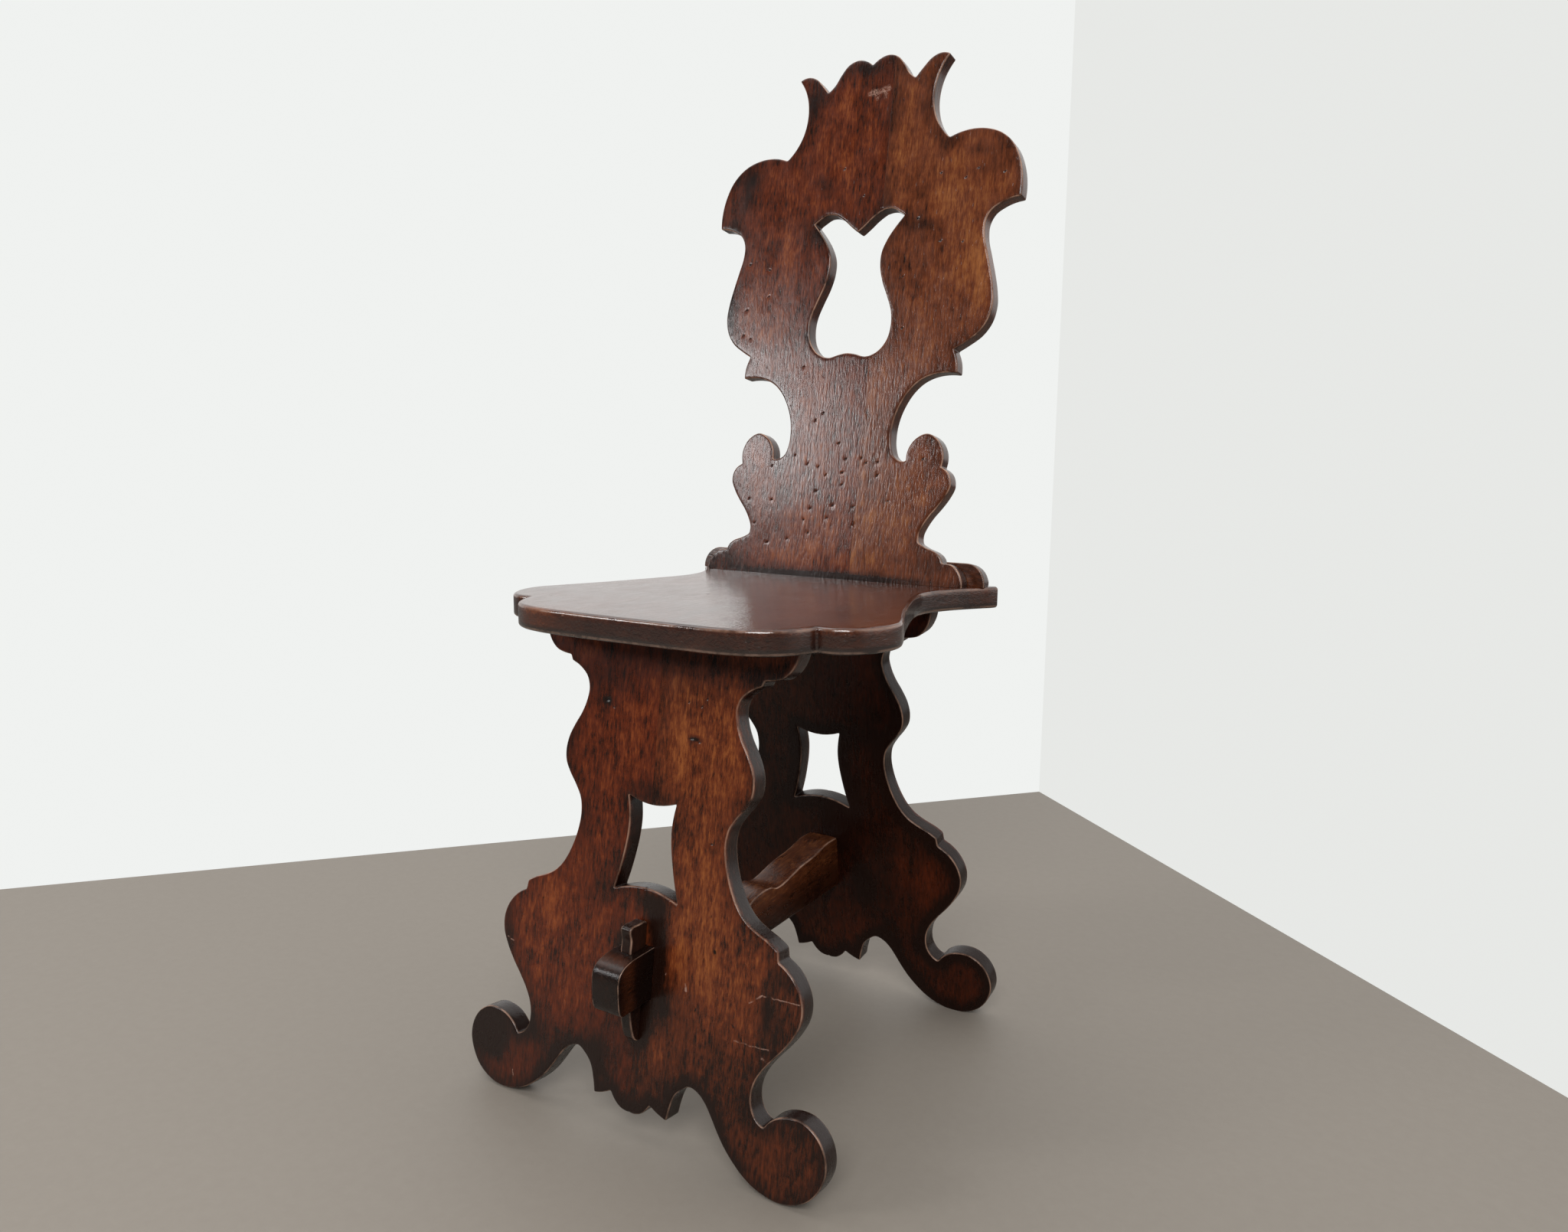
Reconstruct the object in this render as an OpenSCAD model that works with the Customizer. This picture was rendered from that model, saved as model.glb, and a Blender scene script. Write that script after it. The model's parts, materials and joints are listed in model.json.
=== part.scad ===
// Hall chair: a tall shaped back and a scalloped seat on two pierced, scroll-footed trestle
// boards, which a stretcher with through tenons and loose wedge keys holds together.
// X runs across the seat, the front faces -Y and Z is up from the floor. The box over the
// whole chair is centred on X and Y, and its lowest point is at Z = 0. Sizes are millimetres.

/* [Seat] */
// Height of the seat's top above the floor
seat_h = 470; // [445:1:495]
// Thickness of the seat board
seat_t = 22; // [19:1:28]
// Width of the seat across its side lobes
seat_w = 405; // [385:1:430]
// Depth of the seat from its front edge to its rear edge
seat_d = 384; // [365:1:410]

/* [Trestle boards] */
// Width of a trestle across its scroll feet
trestle_w = 399; // [370:1:425]
// Thickness of the trestle boards
trestle_t = 20; // [16:1:24]
// Lean of the front trestle, in degrees: its foot stands forward of its top
front_splay = 7.8; // [5:0.1:9]
// Lean of the rear trestle, in degrees: its foot stands behind its top
rear_splay = 6.7; // [5:0.1:9]
// From the seat's front edge back to the middle of the front trestle's foot
front_set = 7.5; // [4:0.5:15]
// From the seat's rear edge forward to the middle of the rear trestle's foot
rear_set = 6.5; // [4:0.5:15]
// Width of the pierced window across its lower tips
window_w = 71; // [56:1:80]
// Height of the pierced window from its lower tips to its upper tips
window_h = 86.5; // [70:0.5:96]
// From the floor up the board to the window's lower tips
window_up = 217.5; // [205:0.5:230]

/* [Back board] */
// Width of the back across its shoulders
back_w = 365; // [345:1:390]
// Height of the back above the seat, measured up its face
back_h = 565; // [535:1:600]
// Thickness of the back board
back_t = 17; // [15:1:22]
// Backward lean of the back, in degrees
back_tilt = 9; // [5:0.1:12]
// From the seat's rear edge forward to the face of the back
back_set = 39; // [37:0.5:48]
// From the middle of the back to the joint between its two planks
back_seam = 28; // [15:1:30]
// Width of the tulip cut-out across its upper tips
tulip_w = 110; // [100:1:120]
// Height of the tulip cut-out
tulip_h = 158; // [140:1:170]
// From the seat up the board to the bottom of the tulip
tulip_up = 240.5; // [228:0.5:250]

/* [Cleat behind the back] */
// Width of the cleat
cleat_w = 350; // [310:1:360]
// Height of the cleat above the seat
cleat_h = 24; // [20:1:34]
// Thickness of the cleat
cleat_t = 15; // [12:1:17]

/* [Stretcher] */
// Width of the stretcher
rail_w = 36; // [32:1:46]
// Height of the stretcher's underside above the floor
rail_low = 119; // [105:1:130]
// Depth of the stretcher where it meets the trestles
rail_h = 57.5; // [50:0.5:66]
// Width of the stretcher's through tenons
tenon_w = 30; // [24:1:31]
// Depth of the through tenons, whose top is level with the stretcher's top
tenon_h = 46; // [38:0.5:49]
// How far a tenon's end stands out of the trestle
tenon_out = 46; // [38:1:55]

/* [Wedge keys] */
// Width of a key, across the chair
key_w = 12; // [9:0.5:15]
// Depth of a key where it enters the top of the tenon
key_deep = 21; // [17:0.5:24]
// How far a key stands above its tenon
key_head = 22; // [18:0.5:30]
// How far a key hangs below the top of its tenon
key_tail = 86; // [74:0.5:94]

/* [Joints in the seat] */
// Width of the stub tenon on top of each trestle plank
stub_w = 60; // [40:1:70]
// Thickness of the stub tenons
stub_t = 12; // [8:1:14]
// Height of the stub tenons
stub_h = 14; // [8:0.5:15]
// From the middle of the chair to the middle of a stub tenon
stub_x = 70; // [50:1:80]
// Width of the tenon under each plank of the back
foot_w = 50; // [36:1:60]
// Thickness of the tenons under the back
foot_t = 12; // [8:1:13]
// From the middle of the chair to the middle of a tenon under the back
foot_x = 85; // [72:1:95]

/* [Screws] */
// Diameter of a screw's shank
screw_d = 4; // [3:0.5:5]
// Diameter of a screw's countersunk head
head_d = 8; // [6:0.5:10]
// From the seat up the cleat to the screws that hold it to the back
cleat_screw_up = 14; // [10:0.5:17]
// How much wood a screw leaves uncut beyond its point
screw_cover = 5; // [3:0.5:8]

/* [Clearances] */
// Gap round each glued tenon, on every side
glue_gap = 0.2; // [0.1:0.05:0.4]
// Gap round a key, where it slides
slide_gap = 0.3; // [0.3:0.05:0.6]
// Gap round a screw in its hole
screw_gap = 0.1; // [0.05:0.05:0.3]

/* [Hidden] */

$fn = 48;
FRONT = -1;
REAR = 1;
LEFT = -1;
RIGHT = 1;

// Marks on the rows of a drawn outline: a sharp corner, and a smooth crossing of the middle line
CORNER = 1;
LEVEL = 2;
// Length of one straight step along a drawn curve
curve_step = 5;
// Longer than any cut has to reach
far = 1200;

seat_low = seat_h - seat_t;
// Depth to which the wedge slot runs inside the trestle's outer face, so that the key draws tight
draw_in = 2;
// A key tapers evenly over this share of its tail, and has then lost this share of its depth
key_even = 0.59;
key_thinned = 0.19;
key_taper = key_thinned / key_even / key_tail;

// Half outlines, drawn from the middle outwards: across, then up. They are stretched to the sizes above.
SEAT_ROWS = [[0, 0, LEVEL], [60, 1], [100, 4], [122, 10.5], [138, 21], [149, 36],
    [156.1, 54, CORNER], [170, 54], [184, 61], [195, 75], [202, 93], [202.5, 112], [196, 131],
    [186, 153], [175, 179], [164, 208], [153.5, 238], [145.5, 264], [142, 286], [144.5, 308],
    [152, 328], [163, 347], [175, 364], [183, 375.5], [184.5, 380.5], [180, 384, CORNER],
    [0, 384, CORNER]];

TRESTLE_ROWS = [[0, 22.9, LEVEL], [9.5, 24], [17.5, 29.5], [22, 36, CORNER], [29, 32.3],
    [41, 28.5, CORNER], [43.5, 41], [48, 53.5], [55, 60.8], [63, 65.3], [71.5, 63], [79, 57],
    [85.5, 48.5], [92.5, 38], [101, 26.8], [111.5, 16.5], [122, 8.5], [133, 3], [145, -0.2],
    [157, -1.2], [171, 1.8], [184.5, 9.5], [194.5, 22.5], [199.3, 38.5], [196.8, 52.5],
    [188, 65], [176, 71.5], [163, 71.8], [150.5, 67.5], [143, 61.5], [138.5, 55.3, CORNER],
    [131, 59.5], [126, 67], [124.3, 77], [126.3, 88.5], [131.5, 99], [140, 110.5], [150.5, 123],
    [159.5, 136], [165.5, 149.5], [166.3, 162], [162, 175], [153.5, 186], [140.5, 194, CORNER],
    [139, 203, CORNER], [129.5, 208.5], [117.5, 213.5], [107, 219.5], [98, 228.5], [91, 240],
    [85.5, 253], [81.8, 266], [80.3, 279], [82.5, 292.5], [89, 303], [97.5, 314], [102.5, 323],
    [103.8, 333], [101.3, 346], [95, 359], [88, 370.5], [83, 383], [81.3, 394], [84.5, 404],
    [92, 411], [104, 416.5, CORNER], [106, 422, CORNER], [114, 422.8], [123, 425.3],
    [130, 431], [135, 439], [138.5, 452, CORNER]];

WINDOW_ROWS = [[0, 7.4, LEVEL], [12, 6.6], [24, 3.9], [35.3, 0, CORNER], [30.5, 15.6],
    [26.5, 32.6], [23.5, 50.6], [22.8, 63.6], [24, 75.6], [26.3, 86.6, CORNER], [14, 82.8],
    [0, 81.2, LEVEL]];

BACK_ROWS = [[0, 0, CORNER], [158, 0, CORNER], [157, 8.5], [153, 16.5], [146, 22.5],
    [134.4, 23.7, CORNER], [131.5, 30.5], [125, 35.5], [115.5, 38.8], [106, 43.5, CORNER],
    [105, 52], [108.5, 61], [115, 71.5], [123.5, 82], [131, 93], [135.6, 104], [132.5, 116.5],
    [123.3, 123, CORNER], [124.3, 138], [117.5, 151], [104, 158], [90.5, 151.5], [83.7, 141],
    [82.5, 128.8, CORNER], [75, 129.2], [68, 133.5], [64, 143], [62.6, 158], [65, 175],
    [70.8, 190], [79.5, 203.5], [90, 213], [102, 218.5], [115, 220.8], [131, 220, CORNER],
    [129.8, 234], [125.3, 244.8, CORNER], [138, 252], [150, 260.5], [159, 273], [163, 290],
    [161.3, 307], [157, 325], [151.8, 343], [147, 361], [147, 374], [152, 384.5], [163, 391.5],
    [182.5, 396, CORNER], [182.7, 412], [179, 431], [169.5, 450.5], [155, 463.5], [136, 470.2],
    [117, 470.8], [98.8, 465.8, CORNER], [89, 476], [81, 490], [77.2, 505], [77, 520],
    [81, 537], [91, 553.8, CORNER], [80, 556.5], [70, 553], [61.5, 545], [53, 535, CORNER],
    [45.5, 541], [38.5, 551.5], [29.5, 561.5], [18, 565], [8, 562.3], [0, 556.6, CORNER]];

TULIP_ROWS = [[0, 136, CORNER], [9, 143], [19, 151.5], [30, 157.5], [40, 158], [48, 154],
    [55, 149.5, CORNER], [46, 139], [37, 126], [31, 111.5], [30.8, 96.5], [35, 80.5],
    [42.5, 63.5], [48.5, 47.5], [49.8, 32.5], [46, 16.5], [36, 5], [22, 0.5], [10, 3.5],
    [0, 5, LEVEL]];

// Top of the stretcher, drawn from its middle to the trestle: along, then up from the underside
RAIL_ROWS = [[0, 48, LEVEL], [10, 47.5], [19, 46, CORNER], [25, 43], [33, 42.2], [46, 43.7],
    [59, 46.3], [72, 48.8], [98, 51.2], [111, 52.7], [124, 55.6], [136, 57.5, CORNER],
    [155, 57.5, CORNER]];

// Side of a key from its point to its head: out from the trestle, then up, as shares of the
// key's depth and of its length below or above the tenon's top
KEY_ROWS = [[0, -1, CORNER], [0.26, -0.97], [0.5, -0.87], [0.68, -0.73],
    [1 - key_thinned, -key_even, CORNER], [1, 0, CORNER], [0.97, 0.2], [0.98, 0.4], [1.06, 0.58],
    [1.11, 0.73], [1.07, 0.87], [0.92, 0.93], [0.5, 0.96], [0.12, 1], [0, 0.95, CORNER]];

// The nose of a tenon seen from the side, as shares of its length outside the trestle and of its depth
NOSE_ROWS = [[0.52, 0, CORNER], [0.7, -0.03], [0.84, -0.08], [0.94, -0.17], [0.99, -0.3], [1, -0.45],
    [0.99, -0.65], [0.97, -0.85], [0.94, -0.94], [0.86, -1, CORNER]];

// Direction and length of the step from point i of a run to the next one
function gap(p, i) = norm(p[i + 1] - p[i]);
function way(p, i) = (p[i + 1] - p[i]) / gap(p, i);

// Slope of a smooth run at point i: the steps on each side, each weighted by the other's length.
// At an end it mirrors the slope of the next point, or lies level where the row says LEVEL.
function inner_slope(p, i) =
    (way(p, i) * gap(p, i - 1) + way(p, i - 1) * gap(p, i)) / (gap(p, i) + gap(p, i - 1));
function slope(p, i, flat_start, flat_end) =
    let (last = len(p) - 1)
    i == 0 ? (flat_start ? [sign(way(p, 0)[0]), 0] : 2 * way(p, 0) - inner_slope(p, 1)) :
    i == last ?
        (flat_end ? [sign(way(p, last - 1)[0]), 0] : 2 * way(p, last - 1) - inner_slope(p, last - 1)) :
    inner_slope(p, i);

// A point at share t of the cubic between a and b, which leaves along from and arrives along to
function between(a, b, from, to, t) =
    (2 * t ^ 3 - 3 * t ^ 2 + 1) * a + (t ^ 3 - 2 * t ^ 2 + t) * from +
    (3 * t ^ 2 - 2 * t ^ 3) * b + (t ^ 3 - t ^ 2) * to;

// One run between two marked rows, without its last point: straight if it has only two rows
function run(p, flat_start, flat_end) = len(p) < 3 ? [p[0]] :
    [for (i = [0 : len(p) - 2])
        let (d = gap(p, i), steps = max(1, round(d / curve_step)),
            from = d * slope(p, i, flat_start, flat_end), to = d * slope(p, i + 1, flat_start, flat_end))
        for (k = [0 : steps - 1]) between(p[i], p[i + 1], from, to, k / steps)];

// A drawn outline as one list of points
function outline(rows) =
    let (marks = [for (i = [0 : len(rows) - 1]) if (rows[i][2] != undef) i])
    concat(
        [for (m = [0 : len(marks) - 2])
            let (a = marks[m], b = marks[m + 1], p = [for (i = [a : b]) [rows[i][0], rows[i][1]]])
            each run(p, rows[a][2] == LEVEL, rows[b][2] == LEVEL)],
        [[rows[len(rows) - 1][0], rows[len(rows) - 1][1]]]);

// The same outline made w wide over both halves, with h for the drawn height tall
function stretched(p, w, h, tall) =
    let (widen = w / 2 / max([for (q = p) q[0]]), heighten = h / tall)
    [for (q = p) [q[0] * widen, q[1] * heighten]];
function tallest(p) = max([for (q = p) q[1]]);
function both_halves(p) =
    concat(p, [for (i = [len(p) - 1 : -1 : 0]) if (p[i][0] > 0.01) [-p[i][0], p[i][1]]]);

// Rows drawn in shares, in real sizes: wide across, high above zero and low below it
function sized(rows, wide, high, low) =
    [for (r = rows) concat([r[0] * wide, r[1] * (r[1] < 0 ? low : high)], len(r) > 2 ? [r[2]] : [])];

// Places along Y, measured from the seat's front edge
function splay(end) = end == FRONT ? front_splay : rear_splay;
function foot_y(end) = end == FRONT ? front_set : seat_d - rear_set;
// Height of a trestle's middle plane where its outline starts, so that its inner edge meets the floor
function foot_z(end) = trestle_t / 2 * sin(splay(end));
// Where the plane that lies out from the trestle's middle plane stands at height z
function trestle_y(end, out, z) =
    foot_y(end) - end * (z - foot_z(end)) * tan(splay(end)) + end * out / cos(splay(end));
function board_len(end) = (seat_low - foot_z(end)) / cos(splay(end));

rail_top = rail_low + rail_h;
tenon_mid_z = rail_top - tenon_h / 2;
function tenon_end(end) = trestle_y(end, trestle_t / 2, tenon_mid_z) + end * tenon_out;
// How far up the trestle's outer face the tenon's top comes out
function tenon_up(end) = (rail_top - 2 * foot_z(end)) / cos(splay(end));

back_y = seat_d - back_set;
back_top_y = back_y + back_h * sin(back_tilt) + back_t * cos(back_tilt);
cleat_rear_y = back_y + (back_t + cleat_t) * cos(back_tilt) + cleat_h * sin(back_tilt);
foremost = min(0, tenon_end(FRONT), trestle_y(FRONT, trestle_t / 2, 0));
rearmost = max(seat_d, tenon_end(REAR), trestle_y(REAR, trestle_t / 2, 0), back_top_y, cleat_rear_y);
middle_y = (foremost + rearmost) / 2;

// Height up the back at which a level-cut foot ends on a plane that lies behind the face
function foot_rise(behind) = behind * tan(back_tilt);
cleat_tall = cleat_h + foot_rise(back_t);
// Radius of the cleat's upper corners, which leaves its ends a straight foot
cleat_foot = 3;
cleat_round = cleat_h - cleat_foot;
cleat_screw_xs = [-125, -45, 45, 125] * cleat_w / 350;
seat_screw_xs = [-140, 0, 140] * cleat_w / 350;
seat_screw_y = back_y + (back_t + cleat_t / 2) / cos(back_tilt) + cleat_h / 2 * tan(back_tilt);
seat_screw_len = seat_t + cleat_h - screw_cover;
cleat_screw_len = cleat_t + back_t - screw_cover;

left_tone = "#6a3820";
right_tone = "#7a4427";
seat_tone = "#71402a";
rail_tone = "#5e3320";
key_tone = "#53301f";
iron_tone = "#4a4744";

// Everything is drawn from the seat's front edge and then centred
module centred() {
    translate([0, -middle_y, 0]) children();
}

// The space between two heights
module layer(low, high) {
    translate([-far / 2, -far / 2, low]) cube([far, 2 * far, high - low]);
}

// A trestle board's own frame: x across, y up the board, z out of its outer face
module in_trestle(end) {
    translate([0, foot_y(end), foot_z(end)])
        mirror([0, end == REAR ? 1 : 0, 0])
            rotate([90 - splay(end), 0, 0])
                children();
}

// The back's own frame: x across, y up the face, z out of the face
module in_back() {
    translate([0, back_y, seat_h]) rotate([90 - back_tilt, 0, 0]) children();
}

// A side view, along then up, made wide across the chair
module across(wide) {
    rotate([90, 0, 90]) linear_extrude(wide, center = true) children();
}

module half_trestle(end) {
    drawn = outline(TRESTLE_ROWS);
    shape = stretched(drawn, trestle_w, board_len(end), drawn[len(drawn) - 1][1]);
    top = shape[len(shape) - 1];
    pierced = outline(WINDOW_ROWS);
    window = stretched(pierced, window_w, window_h, tallest(pierced));
    difference() {
        polygon(concat(shape, [[top[0], top[1] + trestle_t], [0, top[1] + trestle_t]]));
        translate([0, window_up])
            polygon(concat([[-1, window[0][1]]], window, [[-1, window[len(window) - 1][1]]]));
    }
}

// The stub on top of a trestle plank, or with a gap the mortise for it in the seat
module stub(end, side, space) {
    intersection() {
        in_trestle(end)
            translate([side * stub_x - stub_w / 2 - space, board_len(end) / 2, -stub_t / 2 - space])
                cube([stub_w + 2 * space, board_len(end), stub_t + 2 * space]);
        layer(seat_low - 1, seat_low + stub_h + space);
    }
}

// The tenon of the stretcher, from inside the trestle to its end, or with a gap its mortise
module through_mortise(end) {
    wide = tenon_w + 2 * glue_gap;
    inside = trestle_y(end, -2 * trestle_t, tenon_mid_z);
    outside = trestle_y(end, 2 * trestle_t, tenon_mid_z);
    translate([-wide / 2, min(inside, outside), rail_top - tenon_h - glue_gap])
        cube([wide, abs(outside - inside), tenon_h + 2 * glue_gap]);
}

// Half of a trestle board: the joint between the two halves is on the middle line
module trestle_plank(end, side) {
    centred() {
        difference() {
            intersection() {
                in_trestle(end)
                    mirror([side == LEFT ? 1 : 0, 0, 0])
                        linear_extrude(trestle_t, center = true) half_trestle(end);
                layer(0, seat_low);
            }
            through_mortise(end);
        }
        stub(end, side, 0);
    }
}

module front_trestle_left_plank() {
    color(left_tone) trestle_plank(FRONT, LEFT);
}

module front_trestle_right_plank() {
    color(right_tone) trestle_plank(FRONT, RIGHT);
}

module rear_trestle_left_plank() {
    color(right_tone) trestle_plank(REAR, LEFT);
}

module rear_trestle_right_plank() {
    color(left_tone) trestle_plank(REAR, RIGHT);
}

// Depth of a key at a height below or above its tenon's top
function key_depth(up) = key_deep * (1 + up * key_taper);

// A side view drawn out and up from where the trestle's outer face meets the tenon's top
module on_trestle(end, wide) {
    in_trestle(end)
        translate([0, tenon_up(end), trestle_t / 2])
            rotate([0, -90, 0])
                linear_extrude(wide, center = true) children();
}

// The slot through a tenon, from a little inside the trestle's face to beyond the key
module key_slot(end) {
    low = -2 * tenon_h;
    high = tenon_h;
    on_trestle(end, key_w + 2 * slide_gap)
        polygon([[-draw_in, low], [key_depth(low) + 2 * slide_gap, low],
            [key_depth(high) + 2 * slide_gap, high], [-draw_in, high]]);
}

// A tenon from the trestle's middle plane to its nose
module tenon(end) {
    start = trestle_y(end, -trestle_t / 2, tenon_mid_z) - end * trestle_t / 2;
    face = tenon_end(end) - end * tenon_out;
    nose = outline(sized(NOSE_ROWS, tenon_out, tenon_h, tenon_h));
    difference() {
        across(tenon_w)
            polygon(concat([[start, rail_top]],
                [for (q = nose) [face + end * q[0], rail_top + q[1]]],
                [[start, rail_top - tenon_h]]));
        key_slot(end);
    }
}

module stretcher() {
    top = outline(RAIL_ROWS);
    front = trestle_y(FRONT, -trestle_t / 2, rail_top);
    rear = trestle_y(REAR, -trestle_t / 2, rail_top);
    centre = (front + rear) / 2;
    long = (rear - front) / 2 / top[len(top) - 1][0];
    high = rail_h / tallest(top);
    color(rail_tone) centred() {
        across(rail_w)
            polygon(concat(
                [for (q = top) [centre + q[0] * long, rail_low + q[1] * high]],
                [[trestle_y(REAR, -trestle_t / 2, rail_low), rail_low],
                    [trestle_y(FRONT, -trestle_t / 2, rail_low), rail_low]],
                [for (i = [len(top) - 1 : -1 : 1])
                    [centre - top[i][0] * long, rail_low + top[i][1] * high]]));
        for (end = [FRONT, REAR]) tenon(end);
    }
}

// A key stands its gap off the trestle's face and off the end of its slot
module wedge(end) {
    color(key_tone) centred()
        on_trestle(end, key_w)
            translate([slide_gap, 0]) polygon(outline(sized(KEY_ROWS, key_deep, key_head, key_tail)));
}

module front_wedge() {
    wedge(FRONT);
}

module rear_wedge() {
    wedge(REAR);
}

// The tenon under a plank of the back, or with a gap its mortise through the seat
module back_tenon(side, space) {
    intersection() {
        in_back()
            translate([side * foot_x - foot_w / 2 - space, -2 * seat_t, -back_t / 2 - foot_t / 2 - space])
                cube([foot_w + 2 * space, 3 * seat_t, foot_t + 2 * space]);
        layer(seat_low - space, seat_h + 1);
    }
}

// A countersunk wood screw that points up, with its head's face at the origin, or its hole
module screw(long, space) {
    head = (head_d - screw_d) / 2;
    point = screw_d;
    tip = screw_d * 0.075;
    shank = screw_d / 2 + space;
    rotate_extrude()
        polygon([[0, -space], [head_d / 2 + space, -space], [shank, head], [shank, long - point + space],
            [tip, long + space], [0, long + space]]);
}

// The slot for a driver across a screw's head
module driver_slot() {
    wide = head_d * 0.15;
    deep = head_d * 0.15;
    cube([2 * head_d, wide, 2 * deep], center = true);
}

module at_cleat_screws() {
    for (x = cleat_screw_xs)
        in_back() translate([x, cleat_screw_up + foot_rise(back_t), -back_t - cleat_t]) children();
}

module at_seat_screws() {
    for (x = seat_screw_xs) translate([x, seat_screw_y, seat_low]) children();
}

module seat_board() {
    shape = outline(SEAT_ROWS);
    plan = both_halves(stretched(shape, seat_w, seat_d, tallest(shape)));
    color(seat_tone) centred() difference() {
        translate([0, 0, seat_low]) linear_extrude(seat_t) polygon(plan);
        for (end = [FRONT, REAR], side = [LEFT, RIGHT]) stub(end, side, glue_gap);
        for (side = [LEFT, RIGHT]) back_tenon(side, glue_gap);
        at_seat_screws() screw(seat_screw_len, screw_gap);
    }
}

// One plank of the back: side says which side of the joint it lies on
module back_plank(side) {
    shape = outline(BACK_ROWS);
    tulip = outline(TULIP_ROWS);
    centred() difference() {
        union() {
            intersection() {
                in_back()
                    translate([0, 0, -back_t])
                        linear_extrude(back_t) difference() {
                            polygon(both_halves(stretched(shape, back_w, back_h, tallest(shape))));
                            translate([0, tulip_up])
                                polygon(both_halves(stretched(tulip, tulip_w, tulip_h, tallest(tulip))));
                            translate([side == LEFT ? back_seam : back_seam - far, -1]) square([far, far]);
                        }
                layer(seat_h, seat_h + far);
            }
            back_tenon(side, 0);
        }
        at_cleat_screws() screw(cleat_screw_len, screw_gap);
    }
}

module back_left_plank() {
    color(left_tone) back_plank(LEFT);
}

module back_right_plank() {
    color(right_tone) back_plank(RIGHT);
}

// A low strip with round upper corners, which stands on the seat behind the back
module back_cleat() {
    round_end = [for (turn = [0 : 6 : 90])
        [cleat_w / 2 - cleat_round * (1 - cos(turn)), cleat_tall - cleat_round * (1 - sin(turn))]];
    half = concat([[0, 0], [cleat_w / 2, 0]], round_end, [[0, cleat_tall]]);
    color(rail_tone) centred() difference() {
        intersection() {
            in_back()
                translate([0, 0, -back_t - cleat_t])
                    linear_extrude(cleat_t) polygon(both_halves(half));
            layer(seat_h, seat_h + far);
        }
        at_cleat_screws() screw(cleat_screw_len, screw_gap);
        at_seat_screws() screw(seat_screw_len, screw_gap);
    }
}

module cleat_screws() {
    color(iron_tone) centred() at_cleat_screws() difference() {
        screw(cleat_screw_len, 0);
        driver_slot();
    }
}

module seat_screws() {
    color(iron_tone) centred() at_seat_screws() difference() {
        screw(seat_screw_len, 0);
        driver_slot();
    }
}

front_trestle_left_plank();
front_trestle_right_plank();
rear_trestle_left_plank();
rear_trestle_right_plank();
stretcher();
front_wedge();
rear_wedge();
seat_board();
back_left_plank();
back_right_plank();
back_cleat();
cleat_screws();
seat_screws();
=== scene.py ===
# %% [markdown]
# # A hall chair in stained wood
# This chair is joinery: flat boards with sawn outlines, keyed and glued together. So there are two
# things to learn here. The first is how to turn a drawn outline into a board with soft, worn
# arrises, as a sharp edge is the surest sign of a computer's chair. The second is how to make old,
# stained and waxed wood out of noise that is stretched along the grain.
#
# Everything is drawn in millimetres, as a joiner would, and becomes metres when a mesh is made.

import json
import math

import bpy
import numpy as np
from mathutils import Matrix, Vector
from mathutils.geometry import delaunay_2d_cdt


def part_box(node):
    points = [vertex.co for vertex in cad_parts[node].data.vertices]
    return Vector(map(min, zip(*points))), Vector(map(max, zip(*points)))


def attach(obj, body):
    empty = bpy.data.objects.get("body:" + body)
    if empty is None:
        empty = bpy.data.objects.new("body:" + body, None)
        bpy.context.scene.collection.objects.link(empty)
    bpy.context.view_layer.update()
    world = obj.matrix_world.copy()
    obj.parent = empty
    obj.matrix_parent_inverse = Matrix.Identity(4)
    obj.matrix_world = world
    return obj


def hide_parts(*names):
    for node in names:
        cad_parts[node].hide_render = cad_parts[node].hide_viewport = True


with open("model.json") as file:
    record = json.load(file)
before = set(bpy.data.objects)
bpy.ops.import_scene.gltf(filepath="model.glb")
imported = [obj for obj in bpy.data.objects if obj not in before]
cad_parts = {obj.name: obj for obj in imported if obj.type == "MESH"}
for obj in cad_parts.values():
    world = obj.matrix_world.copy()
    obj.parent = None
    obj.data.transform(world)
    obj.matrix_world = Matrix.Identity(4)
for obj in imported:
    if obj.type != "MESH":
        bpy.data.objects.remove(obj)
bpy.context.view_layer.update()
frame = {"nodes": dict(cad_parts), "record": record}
MM = 0.001
SLOTS = {part["node"]: part["material_slot"] for part in frame["record"]["subparts"]}

# %% [markdown]
# ## The camera first
# A likeness starts with the camera. The photograph was taken from the chair's front right, a little
# above the seat, with a wide lens. The place of the lens and its three angles are written as they
# would be read off a tripod, and a small matrix is made of them: its columns are the directions to
# the right, up and backwards of the picture.

# %% The camera
EYE = (0.57937, -0.89977, 0.61060)
AZIMUTH, PITCH, ROLL = (math.radians(a) for a in (31.46, 8.80, 0.50))
SENSOR_WIDE, LENS, NEAREST = 36, 25.07, 0.05


def look_matrix(eye, azimuth, pitch, roll):
    """The view direction turns by azimuth round the vertical and dips by pitch. The picture's right is
    level, its down is the cross product of both, and roll turns the pair in the picture's plane."""
    ahead = Vector((-math.sin(azimuth) * math.cos(pitch), math.cos(azimuth) * math.cos(pitch),
                    -math.sin(pitch)))
    level = Vector((math.cos(azimuth), math.sin(azimuth), 0))
    down = ahead.cross(level)
    right = math.cos(roll) * level - math.sin(roll) * down
    under = math.sin(roll) * level + math.cos(roll) * down
    turned = Matrix((right, -under, -ahead)).transposed().to_4x4()
    return Matrix.Translation(eye) @ turned


def shown(name, data):
    """A new object in the scene, at the origin."""
    made = bpy.data.objects.new(name, data)
    bpy.context.scene.collection.objects.link(made)
    return made


camera = shown("camera", bpy.data.cameras.new("camera"))
camera.data.sensor_width = SENSOR_WIDE
camera.data.lens = LENS
camera.data.clip_start = NEAREST
camera.matrix_world = look_matrix(EYE, AZIMUTH, PITCH, ROLL)
bpy.context.scene.camera = camera
print("the lens stands", round(Vector(EYE).length, 2), "m from the middle of the floor")

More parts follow.
